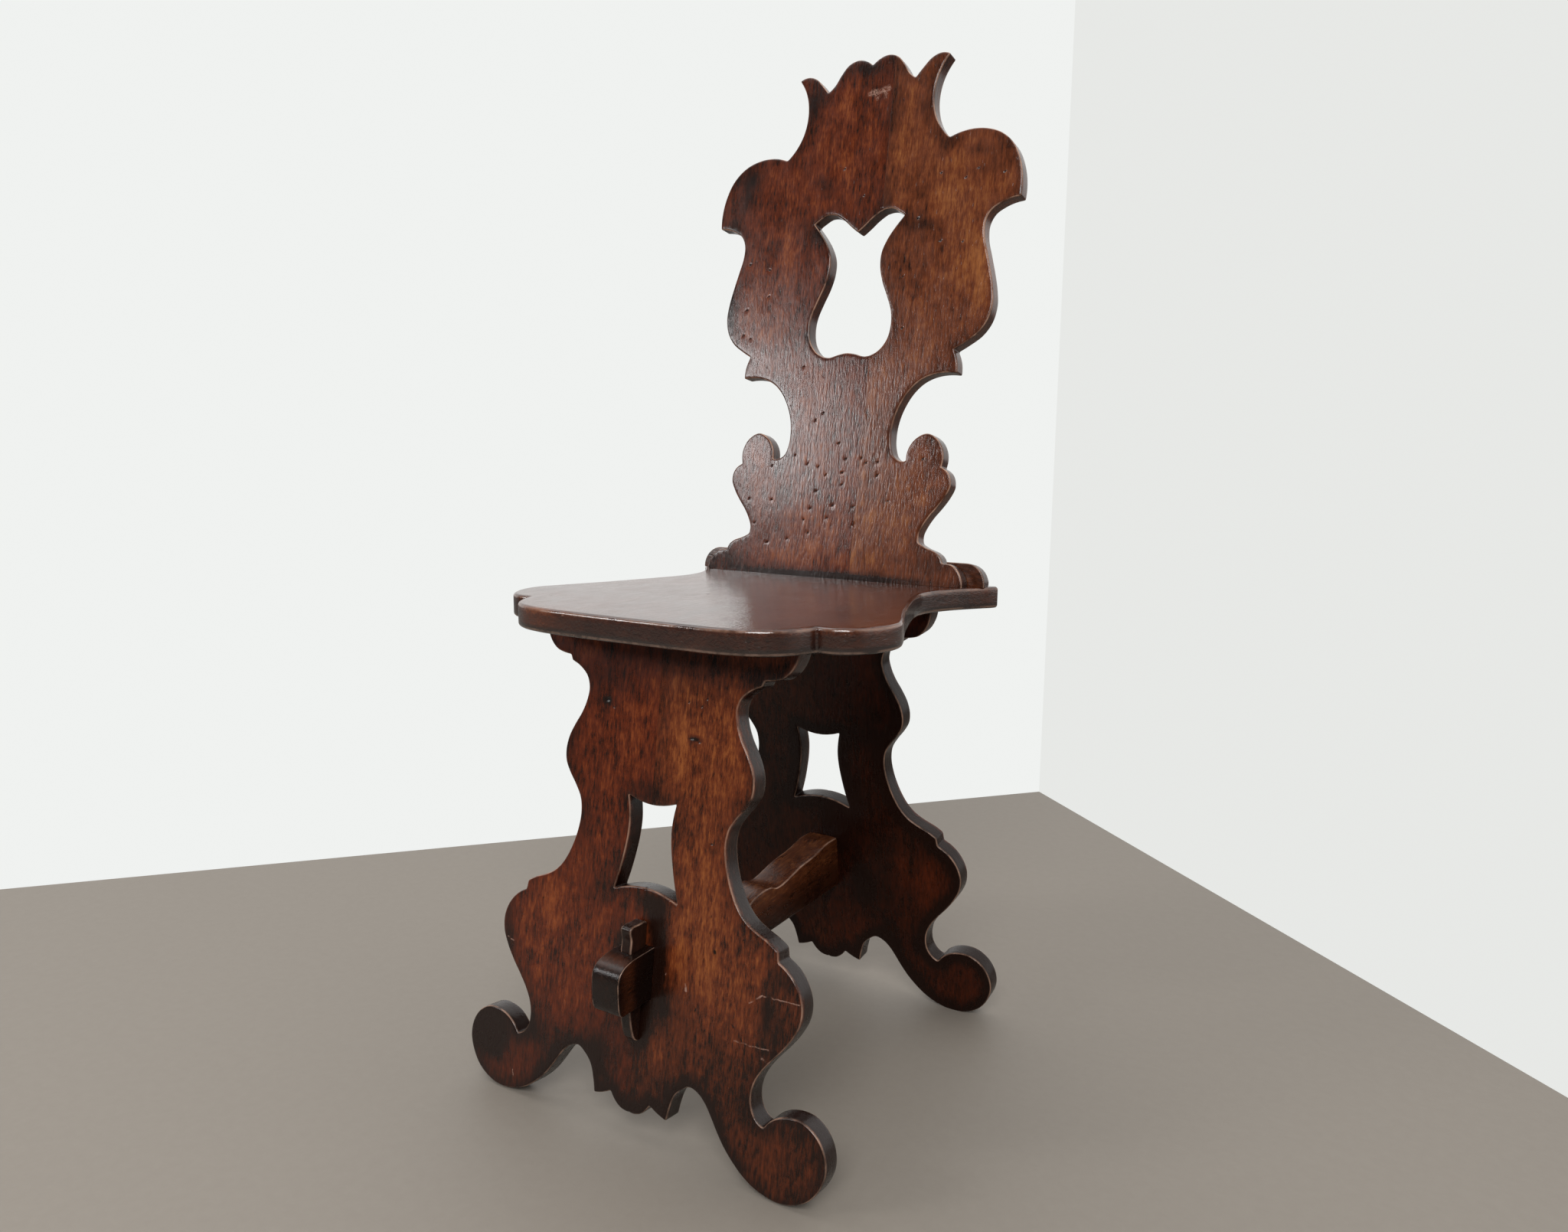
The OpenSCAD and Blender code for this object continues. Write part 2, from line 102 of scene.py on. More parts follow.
# %% [markdown]
# ## The chair's sizes
# The frame already holds every piece at its real size, so most sizes could be measured from it.
# They are named here instead, because the outlines below need them.

# %% Sizes and places
SEAT_TOP, SEAT_THICK = 470, 22
TRESTLE_THICK, BACK_THICK = 20, 17
LEAN = {"front": math.radians(7.8), "rear": math.radians(6.7)}
TILT = math.radians(9)
SEAT_LOW = SEAT_TOP - SEAT_THICK
# Where the seat's front edge and rear edge lie
SEAT_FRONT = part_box("seat_board")[0].y / MM
SEAT_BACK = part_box("seat_board")[1].y / MM
FOOT_Y = {"front": SEAT_FRONT + 7.5, "rear": SEAT_BACK - 6.5}
FACE_Y = SEAT_BACK - 39
SEAM = 28
RAIL_LOW, RAIL_HIGH, RAIL_WIDE = 119, 176.5, 36
TENON_WIDE, TENON_DEEP, TENON_OUT = 30, 46, 46
GLUE_GAP = 0.2
# Which way is outwards, and how far the lean lifts a trestle's middle plane off the floor
OUT = {"front": -1, "rear": 1}
LIFT = {end: TRESTLE_THICK / 2 * math.sin(lean) for end, lean in LEAN.items()}
print("the seat runs from", round(SEAT_FRONT, 1), "to", round(SEAT_BACK, 1), "mm")

# %% [markdown]
# ## Outlines
# A sawn outline is smooth runs between sharp corners. Each row below is a point on half an outline,
# across and then up, and a third number marks a corner, or a level crossing of the middle line.
# Between two marks the rows lie on one smooth curve, whose slope at a row leans towards the nearer
# neighbour. This is how a joiner's template is made: a few measured points, a bent lath between
# them, and a fresh start at each corner.

# %% The drawn rows
CORNER, LEVEL = 1, 2
SEAT_ROWS = [[0, 0, LEVEL], [60, 1], [100, 4], [122, 10.5], [138, 21], [149, 36],
    [156.1, 54, CORNER], [170, 54], [184, 61], [195, 75], [202, 93], [202.5, 112], [196, 131],
    [186, 153], [175, 179], [164, 208], [153.5, 238], [145.5, 264], [142, 286], [144.5, 308],
    [152, 328], [163, 347], [175, 364], [183, 375.5], [184.5, 380.5], [180, 384, CORNER],
    [0, 384, CORNER]]
TRESTLE_ROWS = [[0, 22.9, LEVEL], [9.5, 24], [17.5, 29.5], [22, 36, CORNER], [29, 32.3],
    [41, 28.5, CORNER], [43.5, 41], [48, 53.5], [55, 60.8], [63, 65.3], [71.5, 63], [79, 57],
    [85.5, 48.5], [92.5, 38], [101, 26.8], [111.5, 16.5], [122, 8.5], [133, 3], [145, -0.2],
    [157, -1.2], [171, 1.8], [184.5, 9.5], [194.5, 22.5], [199.3, 38.5], [196.8, 52.5],
    [188, 65], [176, 71.5], [163, 71.8], [150.5, 67.5], [143, 61.5], [138.5, 55.3, CORNER],
    [131, 59.5], [126, 67], [124.3, 77], [126.3, 88.5], [131.5, 99], [140, 110.5], [150.5, 123],
    [159.5, 136], [165.5, 149.5], [166.3, 162], [162, 175], [153.5, 186], [140.5, 194, CORNER],
    [139, 203, CORNER], [129.5, 208.5], [117.5, 213.5], [107, 219.5], [98, 228.5], [91, 240],
    [85.5, 253], [81.8, 266], [80.3, 279], [82.5, 292.5], [89, 303], [97.5, 314], [102.5, 323],
    [103.8, 333], [101.3, 346], [95, 359], [88, 370.5], [83, 383], [81.3, 394], [84.5, 404],
    [92, 411], [104, 416.5, CORNER], [106, 422, CORNER], [114, 422.8], [123, 425.3],
    [130, 431], [135, 439], [138.5, 452, CORNER]]
WINDOW_ROWS = [[0, 7.4, LEVEL], [12, 6.6], [24, 3.9], [35.3, 0, CORNER], [30.5, 15.6],
    [26.5, 32.6], [23.5, 50.6], [22.8, 63.6], [24, 75.6], [26.3, 86.6, CORNER], [14, 82.8],
    [0, 81.2, LEVEL]]
BACK_ROWS = [[158, 0, CORNER], [157, 8.5], [153, 16.5], [146, 22.5],
    [134.4, 23.7, CORNER], [131.5, 30.5], [125, 35.5], [115.5, 38.8], [106, 43.5, CORNER],
    [105, 52], [108.5, 61], [115, 71.5], [123.5, 82], [131, 93], [135.6, 104], [132.5, 116.5],
    [123.3, 123, CORNER], [124.3, 138], [117.5, 151], [104, 158], [90.5, 151.5], [83.7, 141],
    [82.5, 128.8, CORNER], [75, 129.2], [68, 133.5], [64, 143], [62.6, 158], [65, 175],
    [70.8, 190], [79.5, 203.5], [90, 213], [102, 218.5], [115, 220.8], [131, 220, CORNER],
    [129.8, 234], [125.3, 244.8, CORNER], [138, 252], [150, 260.5], [159, 273], [163, 290],
    [161.3, 307], [157, 325], [151.8, 343], [147, 361], [147, 374], [152, 384.5], [163, 391.5],
    [182.5, 396, CORNER], [182.7, 412], [179, 431], [169.5, 450.5], [155, 463.5], [136, 470.2],
    [117, 470.8], [98.8, 465.8, CORNER], [89, 476], [81, 490], [77.2, 505], [77, 520],
    [81, 537], [91, 553.8, CORNER], [80, 556.5], [70, 553], [61.5, 545], [53, 535, CORNER],
    [45.5, 541], [38.5, 551.5], [29.5, 561.5], [18, 565], [8, 562.3], [0, 556.6, CORNER]]
TULIP_ROWS = [[0, 136, CORNER], [9, 143], [19, 151.5], [30, 157.5], [40, 158], [48, 154],
    [55, 149.5, CORNER], [46, 139], [37, 126], [31, 111.5], [30.8, 96.5], [35, 80.5],
    [42.5, 63.5], [48.5, 47.5], [49.8, 32.5], [46, 16.5], [36, 5], [22, 0.5], [10, 3.5],
    [0, 5, LEVEL]]

# %% From rows to a smooth line


def slopes(p, flat_start, flat_end):
    """Slope at each point of a run: the steps on its two sides, each weighted by the other's length.
    At an end it mirrors the next slope, or lies level."""
    step = np.diff(p, axis=0)
    size = np.hypot(*step.T)[:, None]
    way = step / size
    m = np.empty_like(p)
    m[1:-1] = (way[1:] * size[:-1] + way[:-1] * size[1:]) / (size[1:] + size[:-1])
    m[0] = (np.sign(way[0, 0]), 0) if flat_start else 2 * way[0] - m[1]
    m[-1] = (np.sign(way[-1, 0]), 0) if flat_end else 2 * way[-1] - m[-2]
    return m


def smooth_run(p, flat_start, flat_end, pitch=0.5):
    """One run as a dense line: a cubic between neighbours that leaves and arrives along their slopes."""
    if len(p) == 2:
        count = max(2, int(np.hypot(*(p[1] - p[0])) / pitch))
        return p[0] + np.linspace(0, 1, count)[:, None] * (p[1] - p[0])
    m = slopes(p, flat_start, flat_end)
    pieces = []
    for a, b, ma, mb in zip(p[:-1], p[1:], m[:-1], m[1:]):
        d = np.hypot(*(b - a))
        t = np.linspace(0, 1, max(2, int(d / pitch)), endpoint=False)[:, None]
        pieces.append((2 * t**3 - 3 * t**2 + 1) * a + (t**3 - 2 * t**2 + t) * d * ma
                      + (3 * t**2 - 2 * t**3) * b + (t**3 - t**2) * d * mb)
    return np.concatenate(pieces + [p[-1:]])


def smooth_line(rows):
    """All the runs between marked rows, joined into one dense line."""
    marks = [i for i, row in enumerate(rows) if len(row) > 2]
    runs = []
    for a, b in zip(marks[:-1], marks[1:]):
        p = np.array([row[:2] for row in rows[a:b + 1]], float)
        runs.append(smooth_run(p, rows[a][2] == LEVEL, rows[b][2] == LEVEL)[:-1])
    return np.concatenate(runs + [[rows[-1][:2]]])


def mirrored(path):
    """The same line on the other side of the middle, running the other way."""
    return (path * (-1, 1))[::-1]


print("the back's", len(BACK_ROWS), "rows became", len(smooth_line(BACK_ROWS)), "points")

# %% [markdown]
# ## Soft corners
# A saw leaves corners crisp, but sanding, wax and years of hands round them. So each free stretch of
# an outline is blurred along its own length by a millimetre or so. Then it is thinned out again:
# points stay close where the line turns fast and far apart where it runs straight.

# %% Rounding and thinning
FINE = 0.4


def softened(path, blur=1.3):
    """The line averaged with a bell curve along its length, with both its ends kept. Beyond an end it
    goes on as its own point reflection, so that it arrives there without a kink."""
    at = np.concatenate([[0], np.cumsum(np.hypot(*np.diff(path, axis=0).T))])
    even = np.linspace(0, at[-1], max(8, int(at[-1] / FINE)))
    path = np.stack([np.interp(even, at, path[:, i]) for i in (0, 1)], 1)
    step = even[1] - even[0]
    reach = min(int(3 * blur / step) + 1, len(path) - 2)
    kernel = np.exp(-0.5 * (np.arange(-reach, reach + 1) * step / blur) ** 2)
    kernel /= kernel.sum()
    before = 2 * path[0] - path[reach:0:-1]
    after = 2 * path[-1] - path[-2:-2 - reach:-1]
    padded = np.concatenate([before, path, after])
    return np.stack([np.convolve(padded[:, i], kernel, "valid") for i in (0, 1)], 1)


def thinned(path, longest=2.4, turn=0.17):
    """Points at even steps of length / longest + turning / turn, so that fast bends keep more of them."""
    step = np.diff(path, axis=0)
    size = np.hypot(*step.T)
    angle = np.unwrap(np.arctan2(step[:, 1], step[:, 0]))
    bend = np.concatenate([[0], np.abs(np.diff(angle))])
    measure = np.concatenate([[0], np.cumsum(size / longest + bend / turn)])
    even = np.linspace(0, measure[-1], max(2, math.ceil(measure[-1]) + 1))
    return np.stack([np.interp(even, measure, path[:, i]) for i in (0, 1)], 1)


print("softened and thinned, it keeps", len(thinned(softened(smooth_line(BACK_ROWS)))), "of them")

# %% [markdown]
# ## A loop of edges
# A plank's outline is made of stretches of two kinds. A free stretch shows, so its arris is rounded
# well over. A fitted stretch, such as the glue joint in the middle of a board or the side of a
# mortise, keeps an arris of a sixth of a millimetre, which still catches a fine line of shade.
# Some stretches are also cut level or square to another board, while their own board leans: there
# the outline slides up or down through the board's thickness, by a slant for each millimetre.

# %% Loops
FOLLOW = 12


class Loop:
    """A closed outline: its points, which of them are on a free stretch, and their slant."""

    def __init__(self, *stretches):
        points, free, slant = [], [], []
        for path, is_free, lean in stretches:
            path = thinned(softened(path)) if is_free else thinned(path)
            points.append(path[:-1])
            free.append(np.full(len(path) - 1, is_free))
            slant.append(np.full(len(path) - 1, float(lean)))
        self.points = np.concatenate(points)
        self.free = np.concatenate(free)
        slant = np.concatenate(slant)
        # A corner between two stretches belongs to both, and slants if either does
        self.slant = np.where(np.abs(slant) > np.abs(np.roll(slant, 1)), slant, np.roll(slant, 1))
        self.corner = self.free != np.roll(self.free, 1)
        # The free line beside a slanted corner follows it, less and less over a short way
        for i in np.flatnonzero(self.corner & (self.slant != 0)):
            share = np.clip(1 - np.hypot(*(self.points - self.points[i]).T) / FOLLOW, 0, 1) * self.free
            self.slant = np.where(share > 0, share * self.slant[i], self.slant)

    def at(self, depth):
        """The outline on the plane at that depth through the board."""
        return self.points + np.stack([np.zeros(len(self.points)), self.slant * depth], 1)

    def flipped(self):
        """The loop on the other side of the middle, turned round so that its wood stays on the left."""
        self.points = self.points[::-1] * (-1, 1)
        self.free = np.roll(self.free[::-1], -1)
        self.slant = self.slant[::-1]
        self.corner = self.corner[::-1]
        return self


# %% Lines, holes and blocks


def line(*points):
    """A line through the given points."""
    return np.array(points, float)


def circle(x, y, radius, count=20):
    """A small round hole, drawn clockwise so that the wood stays on the left of the line."""
    turn = np.linspace(0, -2 * math.pi, count + 1)
    return np.stack([x + radius * np.cos(turn), y + radius * np.sin(turn)], 1)


def block(x0, y0, x1, y1):
    """The four sides of an oblong hole, clockwise."""
    return line((x0, y0), (x0, y1), (x1, y1), (x1, y0), (x0, y0))


def sides(corners, leans):
    """The fitted stretches from each corner to the next, each with its slant."""
    return [(line(a, b), False, lean) for a, b, lean in zip(corners[:-1], corners[1:], leans)]


print("a round hole has", len(circle(0, 0, 1)) - 1, "sides")

# %% [markdown]
# ## Distance to the edge
# The whole finish hangs on one number: how far a point of the face lies from the nearest free edge.
# It shapes the rounded arris, darkens the stain towards the rim and bares the wood on the arris
# itself, in a pale line that is partly wear and partly painted highlight. To find it fast, the points
# are taken in narrow strips, and each strip looks only at the edges near it.

# %% Distances and insides
REACH, STRIP, TINY = 24, 12, 1e-12


def strips(points, start, end, reach):
    """The points of one level strip after another, with the edges that come within reach of it."""
    if len(points) == 0 or len(start) == 0:
        return
    low = np.minimum(start[:, 1], end[:, 1])
    high = np.maximum(start[:, 1], end[:, 1])
    for y in np.arange(points[:, 1].min(), points[:, 1].max() + STRIP, STRIP):
        mine = np.flatnonzero((points[:, 1] >= y) & (points[:, 1] < y + STRIP))
        near = np.flatnonzero((high > y - reach) & (low < y + STRIP + reach))
        if len(mine) and len(near):
            yield mine, near


def distance(points, start, end):
    """Shortest distance from each point to the edges: off the edge's line where its foot lies on the
    edge, or else off the nearer end. It is never more than REACH."""
    best = np.full(len(points), float(REACH))
    for mine, near in strips(points, start, end, REACH):
        a, way = start[near], (end - start)[near]
        off = points[mine][:, None] - a
        t = np.clip((off * way).sum(2) / np.maximum((way**2).sum(1), TINY), 0, 1)
        gap = np.hypot(*np.moveaxis(off - t[..., None] * way, 2, 0)).min(1)
        best[mine] = np.minimum(best[mine], gap)
    return best


def inside(points, start, end):
    """True where a ray to the right crosses the outline an odd number of times."""
    odd = np.zeros(len(points), bool)
    for mine, near in strips(points, start, end, 0):
        a, b = start[near], end[near]
        py = points[mine][:, None, 1]
        spans = (a[:, 1] > py) != (b[:, 1] > py)
        rise = np.where(np.abs(b[:, 1] - a[:, 1]) < TINY, TINY, b[:, 1] - a[:, 1])
        x = a[:, 0] + (py - a[:, 1]) * (b[:, 0] - a[:, 0]) / rise
        odd[mine] = (spans & (points[mine][:, None, 0] < x)).sum(1) % 2 == 1
    return odd


square = block(-5, -5, 5, 5)
print("a square of 10 mm: its middle lies", distance(line((0, 0)), square[:-1], square[1:])[0],
      "mm from its edge, and is inside:", inside(line((0, 0)), square[:-1], square[1:])[0])

# %% [markdown]
# ## Hand-made faces
# A plane leaves a face that is flat to the hand but not to the eye: a reflection swims in it. A few
# long waves of a tenth of a millimetre do that. Dents are deeper and local. Each one is an oval
# hollow, and gets rings of points of its own, so that it is real geometry. Stains are ovals too, but
# only tint the wood: a positive amount darkens it, and a negative one lets the amber through. Some
# of these ovals are not stain but painted shade, and on the back painted sheen.

# %% Waves


def waves(p, seed, long=70, count=7):
    """A sum of a few plane waves with random directions, phases and lengths around long, from -1 to 1."""
    rng = np.random.default_rng(seed)
    turn = rng.uniform(0, 2 * math.pi, count)
    size = 2 * math.pi / (long * rng.uniform(0.6, 1.7, count))
    phase = rng.uniform(0, 2 * math.pi, count)
    way = np.stack([np.cos(turn), np.sin(turn)]) * size
    return np.cos(p @ way + phase).sum(1) / count


# %% Dents and stains
DENT_RINGS, RING_POINTS = (0.0, 0.45, 0.85, 1.25, 1.8), 10
FADE = 1.6


def oval_frame(p, oval):
    """Places in an oval's own measure: 1 at its rim."""
    x, y, long, wide, turn = oval[:5]
    c, s = math.cos(turn), math.sin(turn)
    dx, dy = p[:, 0] - x, p[:, 1] - y
    return np.hypot((dx * c + dy * s) / long, (dy * c - dx * s) / wide)


def dent_points(dents):
    """Rings of points round each dent, on which its hollow can take shape. The widest lies on the flat
    beside it, or else its slope would shade the wood far around."""
    rings = [np.zeros((0, 2))]
    t = np.linspace(0, 2 * math.pi, RING_POINTS, endpoint=False)
    for x, y, long, wide, turn, _ in dents:
        c, s = math.cos(turn), math.sin(turn)
        for share in DENT_RINGS:
            u, v = share * long * np.cos(t), share * wide * np.sin(t)
            ring = np.stack([x + u * c - v * s, y + u * s + v * c], 1)
            rings.append(ring[:1] if share == 0 else ring)
    return np.concatenate(rings)


def bells(p, ovals):
    """The ovals' amounts at each point, each fading from its middle as a bell curve."""
    total = np.zeros(len(p))
    for oval in ovals:
        total += oval[5] * np.exp(-FADE * oval_frame(p, oval) ** 2)
    return total


def unturned(rows):
    """Ovals without a turn: across and up to the middle, the two half sizes, and the amount."""
    return [(x, up, across, high, 0, amount) for x, up, across, high, amount in rows]


def strewn(seed, count, low, high, size, amount):
    """Ovals thrown at random over a field, for faces that nobody looks at closely."""
    rng = np.random.default_rng(seed)
    at = rng.uniform(low, high, (count, 2))
    half = size * rng.uniform(0.5, 1.5, (count, 2)) * (0.6, 1)
    return [(x, y, across, up, 0.0, deep) for (x, y), (across, up), deep in
            zip(at, half, rng.uniform(-1, 1, count) * amount)]


# %% [markdown]
# ## The board itself
# A face is a height over its plane. Near a free edge the height falls along a quarter circle, near
# a fitted edge along a tiny one, and everywhere it carries the waves and dents. The points are the
# outline, copies of it moved inwards to where the quarter circle needs them, and an even grid
# further in. Blender's Delaunay triangulation joins them and keeps to the outline. The wall between
# the two faces is a plain strip from one outline to the other.

# %% The fall of an arris
ARRIS, TIGHT = 1.9, 0.16


def quarter(d, radius):
    """How far a quarter circle of that radius has fallen at distance d from the edge."""
    inner = np.clip(radius - d, 0, radius)
    return radius - np.sqrt(np.maximum(radius**2 - inner**2, 0))


def inward(points):
    """Unit steps to the left of a closed line, where its wood lies."""
    way = np.roll(points, -1, 0) - np.roll(points, 1, 0)
    way /= np.maximum(np.hypot(*way.T)[:, None], 1e-9)
    return np.stack([-way[:, 1], way[:, 0]], 1)


# %% The edges of a face


class Edges:
    """A face's outlines at one depth through the board, and all their edges in one list."""

    def __init__(self, loops, depth):
        self.outlines = [loop.at(depth) for loop in loops]
        self.start = np.concatenate(self.outlines)
        self.end = np.concatenate([np.roll(o, -1, 0) for o in self.outlines])
        self.is_free = np.concatenate([loop.free for loop in loops])

    def to_free(self, p):
        """Distance to the nearest free edge."""
        return distance(p, self.start[self.is_free], self.end[self.is_free])

    def to_fitted(self, p):
        """Distance to the nearest fitted edge."""
        return distance(p, self.start[~self.is_free], self.end[~self.is_free])


# %% Points of the arris and of the field
ARRIS_STEPS = 5
# Rows of points as fractions of their pitch, and the least room round a point of the field
ROW_STEP, ROOM = 0.87, 1.2


def arris_points(loops, edges, arris):
    """Copies of the outlines moved inwards, to equal turns of the quarter circle. Where they fold over
    each other, in a narrow corner, the points that came too close to an edge are left out."""
    groups = []
    for k in range(1, ARRIS_STEPS + 1):
        inset = arris * (1 - math.cos(0.5 * math.pi * k / ARRIS_STEPS))
        for loop, o in zip(loops, edges.outlines):
            p = (o + inset * inward(o))[loop.free & ~loop.corner]
            ok = edges.to_free(p) > inset * 0.96 - 0.01
            groups.append(p[ok & (edges.to_fitted(p) > TIGHT * 1.5)])
    for loop, o in zip(loops, edges.outlines):
        p = (o + TIGHT * inward(o))[~loop.free & ~loop.corner]
        ok = edges.to_fitted(p) > TIGHT * 0.9
        groups.append(p[ok & (edges.to_free(p) > TIGHT)])
    return groups


def field_points(edges, dents, pitch, arris):
    """Rows of points, staggered like bricks, that make way for the rings of each dent."""
    low, high = edges.start.min(0), edges.start.max(0)
    rows = np.arange(low[1], high[1], pitch * ROW_STEP)
    across = [np.arange(low[0] + pitch / 2 * (i % 2), high[0], pitch) for i in range(len(rows))]
    grid = np.concatenate([np.column_stack([x, np.full(len(x), y)]) for x, y in zip(across, rows)])
    for x, y, long, wide, turn, _ in dents:
        grid = grid[oval_frame(grid, (x, y, long + 1, wide + 1, turn)) > 1.5]
    fill = np.concatenate([grid, dent_points(dents)])
    fill = fill[inside(fill, edges.start, edges.end)]
    clear = distance(fill, edges.start, edges.end) > ROOM
    return fill[clear & (edges.to_free(fill) > arris + 0.8)]


# %% Triangles of a face


def following(loops):
    """The number of the point that comes after each one on its closed outline."""
    counts = [len(loop.points) for loop in loops]
    firsts = np.cumsum([0] + counts[:-1])
    return np.concatenate([first + (np.arange(n) + 1) % n for first, n in zip(firsts, counts)])


def triangulated(points, loops, edges):
    """Delaunay triangles over the points, which keep to the outlines and leave out what isn't wood."""
    links = list(enumerate(following(loops).tolist()))
    found = delaunay_2d_cdt([tuple(p) for p in points.tolist()], links, [], 0, 1e-5)
    if len(found[0]) != len(points):
        raise ValueError(f"the outline crosses itself: {len(points)} points became {len(found[0])}")
    triangles = np.array(found[2])
    # A triangle with a point off the outline is inside for sure, and the others are tested
    unsure = (triangles < len(edges.start)).all(1)
    keep = ~unsure
    keep[unsure] = inside(points[triangles[unsure]].mean(1), edges.start, edges.end)
    return triangles[keep]


def face(loops, depth, dents, pitch, arris):
    """One face: its points, triangles, distance to the free edge and fall below its plane."""
    edges = Edges(loops, depth)
    points = np.concatenate([edges.start, *arris_points(loops, edges, arris),
                             field_points(edges, dents, pitch, arris)])
    rim = edges.to_free(points)
    fall = np.maximum(quarter(rim, arris), quarter(edges.to_fitted(points), TIGHT))
    return points, triangulated(points, loops, edges), rim, fall


# %% [markdown]
# Three marks ride along on each point for the finish to read: its distance to the free edge, which is
# negative on the walls, how deep a dent it lies in, and its stain, which also holds painted shade and
# painted sheen.

# %% Boards
WALL_ROWS = 4
# The waves start where the arris ends, and are whole after so many millimetres more
WAVE_FROM, WAVE_OVER = 1, 8


def wall_triangles(loops, n, low_first, wall_first):
    """Two triangles for each step along the outlines, in each row of the wall from the top face down."""
    firsts = [0, *(wall_first + n * k for k in range(WALL_ROWS - 1)), low_first]
    rows = [first + np.arange(n) for first in firsts]
    after = following(loops)
    made = []
    for a, b in zip(rows[:-1], rows[1:]):
        made.append(np.column_stack([a, b, b[after]]))
        made.append(np.column_stack([a, b[after], a[after]]))
    return made


def board(loops, top, bottom, place, dents=((), ()), stains_and_painted_light=((), ()), pitch=4, arris=ARRIS, wave=0.12,
          over=None, under=None):
    """A board between two planes: points in world millimetres, triangles and marks. The dents and the
    stains, painted shade and painted sheen each hold the ovals of the top and of the bottom face. over
    and under are extra heights of the two faces, as functions of the places on them."""
    corners, triangles, marks = [], [], []
    for depth, sign, seed, hollows, tints, extra in ((top, 1, 2, dents[0], stains_and_painted_light[0], over),
                                                     (bottom, -1, 1, dents[1], stains_and_painted_light[1], under)):
        p, t, rim, fall = face(loops, depth, hollows, pitch, arris)
        pit = bells(p, hollows)
        flat = np.clip((rim - WAVE_FROM) / WAVE_OVER, 0, 1)
        height = depth - sign * (fall + pit - wave * flat * waves(p, seed))
        if extra is not None:
            height = height + extra(p)
        corners.append(np.column_stack([p, height]))
        triangles.append(t[:, ::sign])
        marks.append(np.column_stack([rim, pit, bells(p, tints)]))
    n = sum(len(loop.points) for loop in loops)
    upper, lower = corners[0][:n], corners[1][:n]
    share = (np.arange(1, WALL_ROWS) / WALL_ROWS)[:, None, None]
    wall = upper * (1 - share) + lower * share
    low_first = len(corners[0])
    triangles[1] = triangles[1] + low_first
    triangles += wall_triangles(loops, n, low_first, low_first + len(corners[1]))
    wall_rim = -np.minimum(np.abs(wall[..., 2] - upper[:, 2]), np.abs(wall[..., 2] - lower[:, 2])).ravel()
    # The walls take the mean tint of both faces: stains, painted shade and painted sheen alike.
    wall_stain_and_painted_light = np.tile(0.5 * (marks[0][:n, 2] + marks[1][:n, 2]), WALL_ROWS - 1)
    marks.append(np.column_stack([wall_rim, 0 * wall_rim, wall_stain_and_painted_light]))
    points = place(np.concatenate(corners + [wall.reshape(-1, 3)]))
    triangles = np.concatenate(triangles)
    # A shell's volume has a sign, which tells whether its triangles face outwards
    a, b, c = points[triangles].transpose(1, 0, 2)
    if (a * np.cross(b, c)).sum() < 0:
        triangles = triangles[:, ::-1]
    return points, triangles, np.concatenate(marks)


# %% Shells and pieces


def shells(*boards):
    """Several closed shells as one."""
    first = np.cumsum([0] + [len(points) for points, _, _ in boards])
    return (np.concatenate([points for points, _, _ in boards]),
            np.concatenate([triangles + start for (_, triangles, _), start in zip(boards, first)]),
            np.concatenate([marks for _, _, marks in boards]))


def piece(name, body, node, material, shell, crisp=40):
    """Puts a shell into a mesh, gives it its marks and finish, hangs it on the body it rides on, and hides
    the frame's node that it replaces."""
    points, triangles, marks = shell
    mesh = bpy.data.meshes.new(name)
    mesh.from_pydata((points * MM).tolist(), [], triangles.tolist())
    # The third mark holds the stains, painted shade and painted sheen.
    for label, values in zip(("rim", "pit", "stain"), marks.T):
        mesh.attributes.new(label, "FLOAT", "POINT").data.foreach_set("value", values.astype(np.float32))
    mesh.polygons.foreach_set("use_smooth", np.ones(len(mesh.polygons), bool))
    mesh.update()
    mesh.set_sharp_from_angle(angle=math.radians(crisp))
    mesh.materials.append(material)
    made = shown(name, mesh)
    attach(made, body)
    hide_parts(node)
    print(name, len(mesh.vertices), "points,", len(mesh.polygons), "triangles")


# %% [markdown]
# ## Where each board stands
# Each board is drawn lying flat: across, then up, then out of its show face. These functions stand
# it up where the frame has it.

# %% Places


def trestle_place(end):
    """Stands a trestle board up, leaning by its splay, and cuts it level at the floor and the seat."""
    s = LEAN[end]

    def place(p):
        x, y, z = p.T
        deep = FOOT_Y[end] - OUT[end] * (y * math.sin(s) - z * math.cos(s))
        high = LIFT[end] + y * math.cos(s) + z * math.sin(s)
        return np.column_stack([x, deep, np.clip(high, 0, SEAT_LOW)])
    return place


def back_place(p):
    """Leans the back on the seat by its tilt."""
    x, y, z = p.T
    return np.column_stack([x, FACE_Y + y * math.sin(TILT) - z * math.cos(TILT),
                            SEAT_TOP + y * math.cos(TILT) + z * math.sin(TILT)])


def seat_place(p):
    """The seat is drawn from its front edge."""
    return p + (0, SEAT_FRONT, SEAT_TOP)


# %% [markdown]
# ## Trestle planks
# Each trestle is two planks, glued edge to edge on the middle line. A plank's loop runs out along
# the foot, up the free outline to the seat, in under it, and back down the joint, round its half of
# the pierced window and its half of the mortise.

# %% Trestle loops
TRESTLE_WIDE = 399
WINDOW_WIDE, WINDOW_TALL, WINDOW_UP = 71, 86.5, 217.5


def stretched(points, wide, tall, drawn_tall):
    """A drawn half outline at its real size."""
    return points * (wide / 2 / points[:, 0].max(), tall / drawn_tall)


